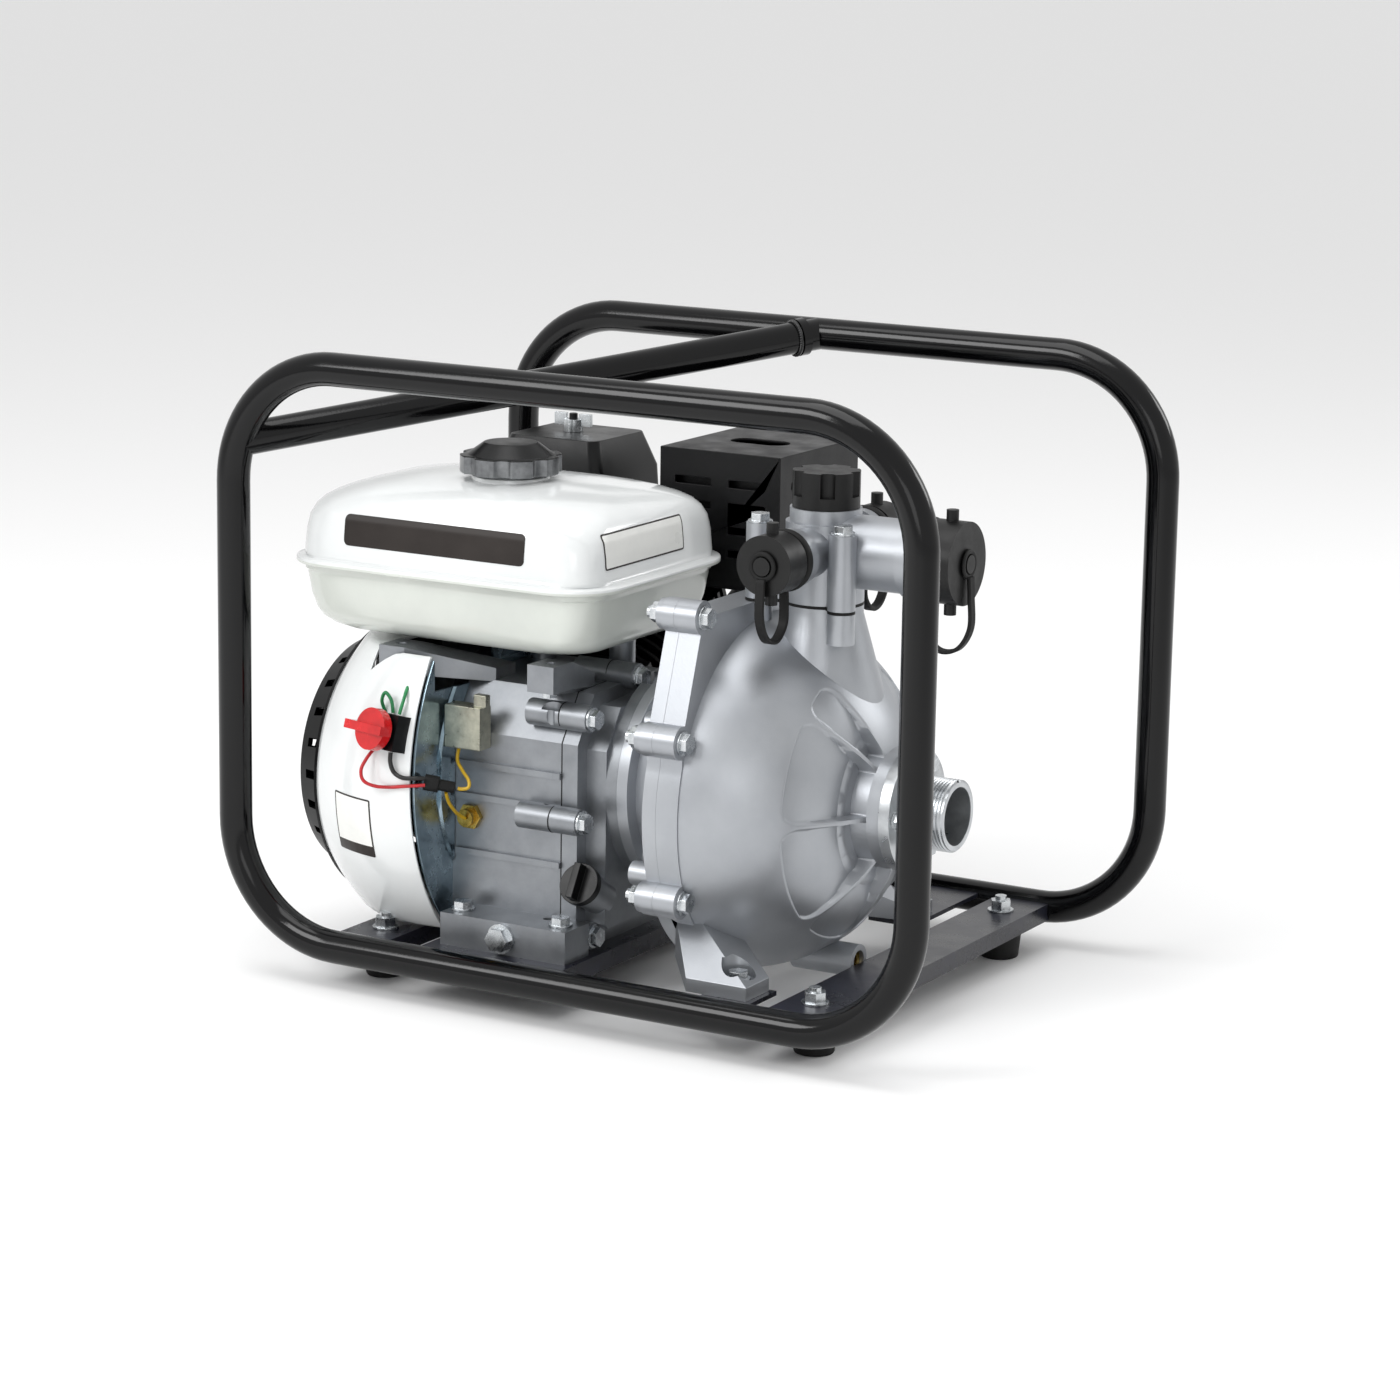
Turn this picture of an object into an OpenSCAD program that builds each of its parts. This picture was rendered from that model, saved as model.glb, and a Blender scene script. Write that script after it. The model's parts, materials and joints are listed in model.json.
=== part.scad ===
// Portable fire pump: a petrol engine and a single-suction high-pressure pump
// in a tubular carrying frame.
// X runs along the crankshaft towards the pump inlet, Y from the tank side to the cylinder side, Z up.
// The origin is on the ground, at the centre of the footprint.

/* [Frame] */
// Length of each side loop, between tube centres
frame_l = 508; // [480:1:620]
// Distance between the two side loops, between tube centres
frame_w = 356; // [340:1:440]
// Height of each side loop, between tube centres
frame_h = 386; // [370:1:480]
// Outside diameter of the frame tube
tube_od = 22.2; // [16:0.1:27]
// Wall of the frame tube
tube_wall = 1.6; // [1.2:0.1:3]
// Centreline radius of the tube bends
bend_r = 80; // [60:1:100]
// Height of the bottom rails' centre above the ground
rail_z = 27; // [20:0.5:36]
// Height of the top face of the base plates
plate_top = 32; // [26:0.5:40]
// Thickness of the base plates
plate_t = 3; // [2:0.5:5]
// Width of the two foot channels
channel_w = 40; // [34:1:60]
// Depth of the channels' folded edges
channel_lip = 12; // [8:1:14]
// Diameter of a rubber foot at the ground
foot_d = 26; // [20:1:32]

/* [Engine] */
// Height of the crankshaft above the base plates
shaft_h = 108; // [106:1:125]
// Offset of the crankshaft from the frame's middle
shaft_y = -35; // [-42:1:-25]
// Cylinder bore
bore_d = 68; // [60:1:70]
// Piston stroke
stroke = 54; // [44:1:56]
// Connecting rod, between centres
rod_l = 84; // [80:1:90]
// Angle of the cylinder above the horizontal
cyl_tilt = 25; // [20:1:30]
// Length of the crankcase along the shaft
case_l = 85; // [80:1:95]
// Wall of the crankcase
case_wall = 6; // [4:0.5:8]
// Diameter of the crankshaft's main journals
journal_d = 25; // [20:1:30]
// Diameter of the output shaft
output_d = 20; // [16:1:24]
// Diameter of the flywheel
flywheel_d = 150; // [130:1:152]
// Depth of the fan shroud along the shaft
shroud_l = 93; // [85:1:98]
// Thickness of pressed sheet covers
sheet_t = 2; // [1.2:0.1:3]

/* [Fuel tank] */
// Length of the tank body along the shaft
tank_l = 232; // [200:1:240]
// Width of the tank body
tank_w = 178; // [150:1:182]
// Height of the tank's seam above the crankshaft
tank_seam_h = 137; // [132:1:150]
// Depth of the lower half
tank_lower_h = 49; // [40:1:50]
// Height of the upper half
tank_upper_h = 58; // [45:1:70]
// Width of the seam flange
tank_flange = 8; // [5:0.5:10]
// Diameter of the fuel cap
fuel_cap_d = 68; // [50:1:76]

/* [Pump] */
// Distance from the engine's mounting face to the casing split
split_x = 58; // [52:1:70]
// Radius of the pump casing's dome
dome_r = 120; // [105:1:121]
// Length of the dome along the shaft
dome_l = 116; // [100:1:130]
// Wall of the pump casing
casing_wall = 8; // [6:0.5:10]
// Diameter of the impeller
impeller_d = 170; // [140:1:176]
// Outside diameter of the inlet's pipe thread
inlet_d = 47.8; // [42:0.1:60]
// Bore of the inlet
inlet_bore = 38; // [30:1:40]
// Length of the inlet pipe beyond its flange
inlet_l = 29; // [25:1:45]
// Distance of the outlet stack from the engine's mounting face
riser_x = 112; // [104:1:118]
// Height of the casing's outlet face above the crankshaft
riser_h = 129; // [124:1:145]
// Diameter of the caps on the small outlets
small_cap_d = 39; // [34:1:44]
// Diameter of the cap on the large outlet
large_cap_d = 54; // [48:1:58]
// Diameter of the priming cap
prime_cap_d = 44; // [38:1:48]

/* [Hidden] */
$fn = 64;

// Gaps: welded joints, seated curved faces, running fits, bolts in their holes
weld_gap = 0.02;
seat_gap = 0.05;
run_gap = 0.05;
bolt_gap = 0.2;

// Frame
tube_r = tube_od / 2;
loop_y = frame_w / 2;
loop_top = rail_z + frame_h;
foot_x = [-(frame_l / 2 - 91), frame_l / 2 - 89];
foot_y = frame_w / 2 - 44;
cross_lean = 20;
cross_far_x = -10;
stud_d = 8;

// Crankshaft and cylinder: the engine's mounting face is at x = 0
shaft_z = plate_top + shaft_h;
cover_l = 35;
case_x1 = -cover_l;
case_x0 = case_x1 - case_l;
cyl_x = case_x1 - case_l / 2;
throw = stroke / 2;
pin_d = 24;
rod_w = 20;
web_t = 10;
web_r = throw + pin_d / 2 + 0.5;
mount_s = 48;
deck_s = throw + rod_l + 22.5;
head_t = 28;
fin_w = case_l - 1;
journal_r = journal_d / 2;
output_r = output_d / 2;

// A point s along the cylinder's axis and t above it, as distances from the crankshaft
function cyl_pt(s, t) = [s * cos(cyl_tilt) - t * sin(cyl_tilt), s * sin(cyl_tilt) + t * cos(cyl_tilt)];

// Crankcase outline, as distances from the crankshaft
case_front = -83;
case_back = 47;
case_top = 63;
case_outline = [
    [case_front, -shaft_h], [case_back, -shaft_h], [case_back, -52], cyl_pt(mount_s, -50),
    cyl_pt(mount_s, 50), [-63, case_top], [case_front, 32]
];
cover_bolts = [[-79, 50], [-91, -17], [-75, -97], [53, -62], [-20, 68]];
boss_r = 9;
boss_l = 20;
foot_block = [[-113, -83], [47, 79]];
foot_block_h = [22, 14];
engine_foot_x = [case_x0 + 19, -25];
engine_foot_y = [-99, 63];
foot_bolt_d = 8;
pto_bolt_r = 62;

// Fan side
plate_x = case_x0 - sheet_t;
rim_x = plate_x - 6;
rim_r = 155;
rim_dy = 23;
shroud_top = 84;
shroud_far = 110;
shroud_x0 = rim_x - shroud_l;
recoil_l = 30;
recoil_r = 88;
recoil_dz = -15;

// Tank
tank_x = -120;
tank_y = shaft_y - 15;
seam_z = shaft_z + tank_seam_h;
tank_bottom = seam_z - tank_lower_h;
tank_top = seam_z + tank_upper_h;
cap_at = [tank_x + 7, tank_y - 10];
neck_r = fuel_cap_d / 2 - 12;
arm_x = [-157, -41];
arm_y = shaft_y - 89;

// Air filter and muffler
filter_at = [-160, 100];
filter_size = [92, 90];
filter_z = 262;
guard_at = [-19, 112];
guard_size = [94, 112, 94];
guard_z = 250;

// Pump
casing_bolts = [[-90, 129], [-115, 52], [-112, -53], [112, -53], [115, 52], [90, 129]];
ear_r = 11;
flange_t = 16;
back_flange_t = 10;
chamber_r = impeller_d / 2 + 6;
hub_r = 40;
inlet_face = split_x + dome_l + 2;
inlet_flange_t = 8;
eye_r = inlet_bore / 2;
leg_y = [-106, 125];
leg_x = split_x + 55;
gasket_t = 2;
manifold_z = shaft_z + riser_h + gasket_t;
port_z = manifold_z + 34;
collar_z = manifold_z + 61;
riser_r = 26;
cap_depth = 22;
cap_wall = 3;
port_wall = 4;
thread_gap = 0.1;
// Each outlet: turn about the riser, distance to its cap, outside radius of its cap
outlets = [[-90, 60, small_cap_d / 2], [0, 80, large_cap_d / 2], [90, 60, small_cap_d / 2]];
strap_r = 3;
manifold_bolts = [[-40, -15], [27, -27]];
lug_h = 49;

// ---------- helpers ----------

// Puts a shape's Z axis on the crankshaft, pointing at the pump
module at_shaft(x = 0) translate([x, shaft_y, shaft_z]) rotate([0, 90, 0]) children();

// Puts a shape's Z axis on the cylinder's axis, s away from the crankshaft
module at_cylinder(s = 0) {
    translate([cyl_x, shaft_y, shaft_z]) rotate([cyl_tilt - 90, 0, 0]) translate([0, 0, s]) children();
}

// Extrudes an outline drawn round the crankshaft, from x along the shaft
module along_shaft(x, l) translate([x, shaft_y, shaft_z]) rotate([90, 0, 90]) linear_extrude(l) children();

// Places a shape at each point drawn round the crankshaft, pointing along it
module round_shaft(points, x) {
    for (p = points) translate([x, shaft_y + p[0], shaft_z + p[1]]) rotate([0, 90, 0]) children();
}

// A flanged hex bolt: its head stands on z = 0 and its shank hangs below
module hex_bolt(d, l) {
    cylinder(r = d, h = d * 0.2);
    cylinder(r = d * 0.85, h = d * 0.75, $fn = 6);
    translate([0, 0, -l]) cylinder(r = d / 2, h = l + 0.5);
}

module box(low, high) translate(low) cube(high - low);

// Tube swept along a smooth curve through points; side is a direction that the curve never takes
function unit(v) = v / norm(v);
function pick(p, i) = p[max(0, min(len(p) - 1, i))];
function curve_pt(p, i, t) =
    0.5 * (2 * pick(p, i) + (pick(p, i + 1) - pick(p, i - 1)) * t
    + (2 * pick(p, i - 1) - 5 * pick(p, i) + 4 * pick(p, i + 1) - pick(p, i + 2)) * t * t
    + (3 * pick(p, i) - pick(p, i - 1) - 3 * pick(p, i + 1) + pick(p, i + 2)) * t * t * t);
function curve(p, n) =
    concat([for (i = [0:len(p) - 2], k = [0:n - 1]) curve_pt(p, i, k / n)], [p[len(p) - 1]]);
module sweep(points, r, side, n = 3, sides = 8) {
    path = curve(points, n);
    last = len(path) - 1;
    rings = [for (i = [0:last])
        let (
            t = unit(path[min(last, i + 1)] - path[max(0, i - 1)]),
            a = unit(cross(side, t)),
            b = cross(t, a)
        )
        for (k = [0:sides - 1]) path[i] + r * (cos(360 * k / sides) * a + sin(360 * k / sides) * b)];
    walls = [for (i = [0:last - 1], k = [0:sides - 1])
        [i * sides + k, (i + 1) * sides + k, (i + 1) * sides + (k + 1) % sides, i * sides + (k + 1) % sides]];
    ends = [[for (k = [0:sides - 1]) k], [for (k = [sides - 1:-1:0]) last * sides + k]];
    polyhedron(rings, concat(walls, ends));
}

// ---------- frame ----------

// One side loop as a solid of tube radius r
module loop_path(r) {
    hx = frame_l / 2 - bend_r;
    hz = frame_h / 2 - bend_r;
    translate([0, 0, rail_z + frame_h / 2]) rotate([90, 0, 0]) {
        for (turn = [0:3]) {
            corner = [[hx, hz], [-hx, hz], [-hx, -hz], [hx, -hz]][turn];
            translate(corner) rotate(90 * turn) rotate_extrude(angle = 90) translate([bend_r, 0]) circle(r);
        }
        for (side = [-1, 1]) {
            translate([-hx, side * frame_h / 2, 0]) rotate([0, 90, 0]) cylinder(r = r, h = 2 * hx);
            translate([side * frame_l / 2, hz, 0]) rotate([90, 0, 0]) cylinder(r = r, h = 2 * hz);
        }
    }
}

module loop() {
    difference() {
        loop_path(tube_r);
        loop_path(tube_r - tube_wall);
    }
}

module near_loop() color("#161618") translate([0, -loop_y, 0]) loop();
module far_loop() color("#161618") translate([0, loop_y, 0]) loop();

// Diagonal tube from the far top rail to the near loop's rear bend, coped to both
module cross_tube() {
    near_end = [
        -frame_l / 2 + bend_r * (1 - cos(cross_lean)), -loop_y, loop_top - bend_r * (1 - sin(cross_lean))
    ];
    far_end = [cross_far_x, loop_y, loop_top];
    run = near_end - far_end;
    color("#161618") difference() {
        translate(far_end) rotate([0, acos(run[2] / norm(run)), atan2(run[1], run[0])]) {
            difference() {
                union() {
                    cylinder(r = tube_r, h = norm(run));
                    translate([0, 0, tube_r + 1]) cylinder(r = tube_r + 2, h = 6);
                }
                cylinder(r = tube_r - tube_wall, h = norm(run));
            }
        }
        for (side = [-1, 1]) translate([0, side * loop_y, 0]) loop_path(tube_r + weld_gap);
    }
}

// Flat plate with folded edges, between the two loops
module channel(x, w) {
    y = frame_w / 2;
    box([x - w / 2, -y, plate_top - plate_t], [x + w / 2, y, plate_top]);
    for (side = [-1, 1]) {
        edge = x + side * (w - plate_t) / 2;
        box([edge - plate_t / 2, -y, plate_top - channel_lip], [edge + plate_t / 2, y, plate_top]);
    }
}

module base_plates() {
    engine_x = (engine_foot_x[0] + engine_foot_x[1]) / 2;
    color("#1b1c22") difference() {
        union() {
            for (x = foot_x) channel(x, channel_w);
            channel(engine_x, 110);
            for (y = leg_y) {
                edge = y < 0 ? -loop_y : shaft_y + y - 18;
                box([leg_x - 18, edge, plate_top - plate_t],
                    [leg_x + 18, y < 0 ? shaft_y + y + 18 : loop_y, plate_top]);
            }
        }
        for (side = [-1, 1]) translate([0, side * loop_y, 0]) loop_path(tube_r + weld_gap);
        for (x = foot_x, y = [-foot_y, foot_y]) translate([x, y, 0]) {
            cylinder(d = stud_d + 2 * bolt_gap, h = 60);
        }
        for (x = engine_foot_x, y = engine_foot_y) {
            translate([x, shaft_y + y, 0]) cylinder(d = foot_bolt_d + 2 * bolt_gap, h = 60);
        }
        for (y = leg_y) translate([leg_x, shaft_y + y, 0]) cylinder(d = stud_d + 2 * bolt_gap, h = 60);
    }
}

module rubber_feet() {
    height = plate_top - plate_t;
    color("#0e0e0e") for (x = foot_x, y = [-foot_y, foot_y]) translate([x, y, 0]) difference() {
        cylinder(d1 = foot_d, d2 = min(foot_d + 6, channel_w - 2 * plate_t - 1), h = height);
        translate([0, 0, height / 2]) cylinder(d = stud_d + 2 * seat_gap, h = height);
    }
}

// Studs of the feet, bolts of the engine's feet and of the pump's legs, with their nuts
module mounting_bolts() {
    under = plate_top - plate_t;
    color("#c4c6c8") {
        for (x = foot_x, y = [-foot_y, foot_y]) translate([x, y, 0]) {
            translate([0, 0, under / 2]) cylinder(d = stud_d, h = plate_top + 11 - under / 2);
            translate([0, 0, plate_top]) cylinder(r = 9, h = 1.5);
            translate([0, 0, plate_top]) cylinder(r = 7.5, h = 8, $fn = 6);
        }
        for (x = engine_foot_x, i = [0, 1]) translate([x, shaft_y + engine_foot_y[i], 0]) {
            translate([0, 0, plate_top + foot_block_h[i]]) {
                hex_bolt(foot_bolt_d, foot_block_h[i] + plate_t + 9);
            }
            translate([0, 0, under - 6.5]) cylinder(r = 7.5, h = 6.5, $fn = 6);
        }
        for (y = leg_y) translate([leg_x, shaft_y + y, 0]) {
            translate([0, 0, plate_top + 9]) hex_bolt(stud_d, 9 + plate_t + 9);
            translate([0, 0, under - 6.5]) cylinder(r = 7.5, h = 6.5, $fn = 6);
        }
    }
}

// ---------- engine block ----------

// The oil filler's axis, on the near side of the side cover
module at_filler() translate([-17, shaft_y - 73, shaft_z - 68]) rotate([60, 0, 0]) children();

module crankcase() {
    arm_root = [case_x0 + 11, case_x1 - 12];
    color("#aeb1b4") difference() {
        union() {
            along_shaft(case_x0, case_l) polygon(case_outline);
            for (i = [0, 1]) {
                box([case_x0 + 10, shaft_y + foot_block[i][0], plate_top],
                    [-13, shaft_y + foot_block[i][1], plate_top + foot_block_h[i]]);
            }
            round_shaft(cover_bolts, case_x1 - 26) cylinder(r = boss_r, h = 26);
            for (i = [0, 1]) hull() {
                translate([arm_x[i] - 10, arm_y - 12, tank_bottom - 20]) cube([20, 24, 18]);
                translate([arm_root[i] - 9, shaft_y - 62, shaft_z + case_top - 1]) cube([18, 24, 9]);
            }
            for (x = arm_root) translate([x, shaft_y + 12, shaft_z + case_top - 3]) {
                cylinder(r = 9, h = tank_bottom - shaft_z - case_top + 3);
            }
            // Stiffening ribs on the near wall
            for (z = [-52, -14, 8]) {
                box([case_x0 + 4, shaft_y + case_front - 3, shaft_z + z],
                    [case_x1, shaft_y + case_front + 1, shaft_z + z + 4]);
            }
        }
        along_shaft(case_x0 + case_wall, case_l) circle(web_r + 4);
        box([case_x0 + case_wall, shaft_y + case_front + case_wall, plate_top + case_wall + 2],
            [case_x1 + 1, shaft_y + case_back - case_wall, shaft_z - 20]);
        box([case_x0 + case_wall, shaft_y + case_front + case_wall, shaft_z - 21],
            [case_x1 + 1, shaft_y, shaft_z + 30]);
        at_cylinder(0) cylinder(r = bore_d / 2 + 5 + seat_gap, h = mount_s + 20);
        at_shaft(case_x0 - 1) cylinder(r = journal_r + run_gap, h = case_wall + 2);
        round_shaft(cover_bolts, case_x1 - 24) cylinder(d = 8 + 2 * bolt_gap, h = 40);
        round_shaft(cover_bolts, case_x1) cylinder(r = boss_r + bolt_gap, h = 60);
        for (x = engine_foot_x, y = engine_foot_y) {
            translate([x, shaft_y + y, plate_top - 1]) cylinder(d = foot_bolt_d + 2 * bolt_gap, h = 40);
        }
        for (x = arm_x) translate([x, arm_y, 0]) cylinder(d = 6 + 2 * bolt_gap, h = 400);
        for (x = arm_x) translate([x, arm_y, tank_bottom - 34]) cylinder(r = 8, h = 14);
        translate([-62, shaft_y - 114, plate_top + 11]) {
            rotate([-90, 0, 0]) cylinder(r = 5 + bolt_gap, h = 60);
        }
        translate([case_x0 + 15, shaft_y + case_front - 4, shaft_z - 26]) {
            rotate([-90, 0, 0]) cylinder(r = 5 + bolt_gap, h = case_wall + 6);
        }
    }
}

module side_cover() {
    color("#b2b5b8") difference() {
        union() {
            along_shaft(case_x1, 12) polygon(case_outline);
            along_shaft(case_x1, cover_l - 8) polygon([for (p = case_outline) 0.86 * p]);
            at_shaft(-8) cylinder(r = 72, h = 8);
            round_shaft(cover_bolts, case_x1) cylinder(r = boss_r, h = boss_l);
            at_filler() translate([0, 0, -12]) cylinder(r = 12, h = 26);
        }
        along_shaft(case_x1 - 1, cover_l - 10) polygon([for (p = case_outline) 0.74 * p]);
        at_shaft(-cover_l) cylinder(r = journal_r + run_gap, h = cover_l + 1);
        round_shaft(cover_bolts, case_x1 - 1) cylinder(d = 8 + 2 * bolt_gap, h = boss_l + 2);
        for (a = [45:90:315]) at_shaft(-20) rotate(a) translate([pto_bolt_r, 0]) {
            cylinder(d = 8 + 2 * bolt_gap, h = 30);
        }
        at_filler() translate([0, 0, -40]) cylinder(r = 8, h = 60);
        at_filler() translate([0, 0, 14]) cylinder(r = 14.5, h = 30);
        round_shaft(cover_bolts, case_x1 + boss_l) cylinder(r = 8.5, h = 30);
    }
}

module engine_bolts() {
    color("#c9cbcd") {
        round_shaft(cover_bolts, case_x1 + boss_l) hex_bolt(8, boss_l + 20);
        for (x = arm_x) translate([x, arm_y, tank_bottom - 20]) rotate([180, 0, 0]) hex_bolt(6, 17.5);
        for (a = [45:90:315]) at_shaft(8) rotate(a) translate([pto_bolt_r, 0]) hex_bolt(8, 15);
    }
}

module drain_plug() {
    color("#c9cbcd") translate([-62, shaft_y - 113, plate_top + 11]) rotate([90, 0, 0]) hex_bolt(10, 16);
}

module dipstick() {
    color("#141414") at_filler() {
        translate([0, 0, 14]) cylinder(r = 14, h = 6);
        translate([-2.5, -12, 19]) cube([5, 24, 9]);
        translate([0, 0, -30]) cylinder(r = 3, h = 45);
        translate([0, 0, 1]) cylinder(r = 7.6, h = 14);
    }
}

// Finned barrel, spigoted into the crankcase
module barrel() {
    color("#2a2b2c") difference() {
        union() {
            at_cylinder(mount_s) translate([-fin_w / 2, -48, 0]) cube([fin_w, 96, 8]);
            at_cylinder(mount_s - 7) cylinder(r = bore_d / 2 + 5, h = deck_s - mount_s + 7);
            for (s = [mount_s + 14:9:deck_s - 6]) at_cylinder(s) intersection() {
                cylinder(r = 52, h = 3);
                translate([-fin_w / 2, -50, 0]) cube([fin_w, 100, 3]);
            }
        }
        at_cylinder(0) cylinder(d = bore_d, h = deck_s + 1);
    }
}

plug_x = 27;

module cylinder_head() {
    color("#3a3b3c") difference() {
        at_cylinder(deck_s) translate([-fin_w / 2, -40, 0]) cube([fin_w, 80, head_t]);
        for (s = [6, 13, 20]) at_cylinder(deck_s + s) difference() {
            translate([-fin_w / 2 - 1, -41, 0]) cube([fin_w + 2, 82, 4]);
            translate([-fin_w / 2 + 9, -31, -1]) cube([fin_w - 18, 62, 6]);
        }
        at_cylinder(deck_s - 1) cylinder(r = bore_d / 2 - 4, h = 5);
        at_cylinder(deck_s) translate([plug_x, 0, 0]) cylinder(r = 7 + bolt_gap, h = 60);
    }
}

module rocker_cover() {
    color("#2d2e30") at_cylinder(deck_s + head_t) {
        translate([-fin_w / 2 + 1, -30, 0]) cube([52, 60, 3]);
        translate([-fin_w / 2 + 5, -26, 3]) cube([44, 52, 24]);
    }
}

module spark_plug() {
    color("#e4e1d8") at_cylinder(deck_s + head_t) translate([plug_x, 0, 0]) {
        translate([0, 0, -20]) cylinder(r = 7, h = 20);
        cylinder(r = 10, h = 8, $fn = 6);
        translate([0, 0, 8]) cylinder(r = 6, h = 26);
    }
}

module plug_boot() {
    color("#141414") at_cylinder(deck_s + head_t) translate([plug_x, 0, 0]) difference() {
        union() {
            translate([0, 0, 14]) cylinder(r = 10, h = 26);
            translate([0, 0, 32]) rotate([0, 90, 0]) cylinder(r = 7, h = 20);
        }
        translate([0, 0, 10]) cylinder(r = 6 + seat_gap, h = 25);
    }
}

// Journals and webs; the crank pin stays with the connecting rod
module crankshaft() {
    color("#8d8f92") {
        at_shaft(-208) cylinder(r = journal_r, h = cyl_x - rod_w / 2 - web_t + 208);
        at_shaft(cyl_x + rod_w / 2 + web_t) cylinder(r = journal_r, h = -2 - cyl_x - rod_w / 2 - web_t);
        for (x = [cyl_x - rod_w / 2 - web_t, cyl_x + rod_w / 2]) at_shaft(x) cylinder(r = web_r, h = web_t);
        at_shaft(-2) cylinder(r = output_r, h = split_x + 30);
    }
}

// Puts a shape's Z axis across the cylinder, parallel to the crankshaft, from x
module across_cylinder(s, x) at_cylinder(s) translate([x, 0, 0]) rotate([0, 90, 0]) children();

module connecting_rod() {
    rod_t = rod_w - 1;
    color("#9b9ea1") difference() {
        union() {
            across_cylinder(throw, -rod_t / 2) cylinder(r = pin_d / 2 + 6, h = rod_t);
            across_cylinder(throw + rod_l, -rod_t / 2) cylinder(r = 13, h = rod_t);
            at_cylinder(throw) translate([-rod_t / 2, -8, 0]) cube([rod_t, 16, rod_l]);
        }
        across_cylinder(throw + rod_l, -20) cylinder(r = 8 + run_gap, h = 40);
        across_cylinder(throw, -20) cylinder(r = pin_d / 2 + run_gap, h = 40);
    }
    color("#8d8f92") across_cylinder(throw, -rod_t / 2) cylinder(r = pin_d / 2, h = rod_t);
}

// Piston with its ring grooves and gudgeon pin
module piston() {
    skirt = 16.5;
    crown = 22;
    r = bore_d / 2 - run_gap;
    color("#b9bbbd") {
        difference() {
            at_cylinder(throw + rod_l - skirt) cylinder(r = r, h = skirt + crown);
            at_cylinder(throw + rod_l - skirt - 1) cylinder(r = r - 6, h = skirt + crown - 6);
            across_cylinder(throw + rod_l, -40) cylinder(r = 8 + run_gap, h = 80);
            for (s = [crown - 6, crown - 11]) at_cylinder(throw + rod_l + s) difference() {
                cylinder(r = r + 1, h = 2);
                translate([0, 0, -1]) cylinder(r = r - 2.5, h = 4);
            }
        }
        across_cylinder(throw + rod_l, -r + 2) cylinder(r = 8, h = 2 * r - 4);
    }
}

// Flywheel with fan blades and starter cup
module flywheel() {
    blades = 14;
    color("#7d8083") difference() {
        union() {
            at_shaft(case_x0 - 45) cylinder(d = flywheel_d, h = 25);
            at_shaft(case_x0 - 86) cylinder(r = 24, h = 50);
            at_shaft(case_x0 - 86) cylinder(r = 40, h = 3);
            for (i = [0:blades - 1]) at_shaft(case_x0 - 63) rotate(i * 360 / blades) {
                translate([30, -1.5, 0]) cube([flywheel_d / 2 - 34, 3, 20]);
            }
        }
        at_shaft(case_x0 - 100) cylinder(r = journal_r + seat_gap, h = 90);
    }
}

// ---------- fan side ----------

// Notch that clears the tank's rear arm
module arm_notch() {
    box([arm_x[0] - 13, arm_y - 16, shaft_z + 60], [case_x0 + 3, shaft_y - 34, shaft_z + 120]);
}

module rim_outline(inset = 0) {
    intersection() {
        translate([rim_dy, 0]) circle(rim_r - inset);
        translate([-200, -shaft_h + 4 + inset]) {
            square([200 + shroud_far - inset, shaft_h - 4 + shroud_top - 2 * inset]);
        }
    }
}

module back_plate() {
    color("#a9bccb") difference() {
        union() {
            along_shaft(plate_x, sheet_t) rim_outline(sheet_t + 1);
            at_shaft(plate_x) intersection() {
                cylinder(r1 = 104, r2 = 101, h = sheet_t + 2);
                translate([-70, -100, 0]) cube([170, 105, 20]);
            }
        }
        at_shaft(plate_x - 1) cylinder(r = journal_r + 6, h = 20);
        along_shaft(case_x0, case_l) offset(delta = 0.5) polygon(case_outline);
        box([case_x0, shaft_y - 113.5, 0], [0, shaft_y - 80, plate_top + 23]);
        box([case_x0, shaft_y - 80, 0], [0, shaft_y + 200, shaft_z - 30]);
        arm_notch();
    }
}

// Pressed shroud: one outline at the back plate, a smaller one at the recoil cover
module fan_shroud() {
    module skin(inset, more) hull() {
        along_shaft(rim_x + 6 + more, 0.01) rim_outline(inset);
        along_shaft(shroud_x0 - more, 0.01) intersection() {
            translate([0, recoil_dz]) circle(recoil_r + 9 - inset);
            translate([-200, -shaft_h + 4 + inset]) square([400, 400]);
        }
    }
    color("#f2f2ee") difference() {
        skin(0, 0);
        skin(sheet_t, 0.1);
        arm_notch();
    }
}

module at_recoil(x = 0) translate([0, 0, recoil_dz]) at_shaft(x) children();

grip_at = [70, 66];

module recoil_cover() {
    slots = 24;
    color("#131313") {
        difference() {
            at_recoil(shroud_x0 - recoil_l) rotate_extrude() polygon([
                [0, 0], [recoil_r - 18, 0], [recoil_r - 8, 5], [recoil_r, recoil_l - sheet_t],
                [recoil_r + 9, recoil_l - sheet_t], [recoil_r + 9, recoil_l], [recoil_r - 2.5, recoil_l],
                [recoil_r - 10.5, 7], [recoil_r - 19, 2.5], [0, 2.5]
            ]);
            for (i = [0:slots - 1]) at_recoil(shroud_x0 - recoil_l - 1) rotate(i * 360 / slots) {
                translate([46, -2.2, 0]) cube([18, 4.4, 8]);
                translate([recoil_r - 12, -3, 12]) cube([20, 6, 9]);
            }
        }
        at_shaft(shroud_x0 - recoil_l + 2.5) cylinder(r = 8, h = 20);
        // Rope guide
        translate([shroud_x0 - 24, shaft_y, shaft_z]) rotate([-atan2(grip_at[0], grip_at[1]), 0, 0]) {
            translate([0, -10, recoil_r - 16]) cube([16, 20, 34]);
        }
    }
}

module starter_pulley() {
    color("#1d1d1f") at_shaft(shroud_x0 - recoil_l + 6) rotate_extrude() polygon([
        [8 + run_gap, 0], [42, 0], [42, 2.5], [37.5, 3.5], [37.5, 8.5], [42, 9.5], [42, 12], [8 + run_gap, 12]
    ]);
}

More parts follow.
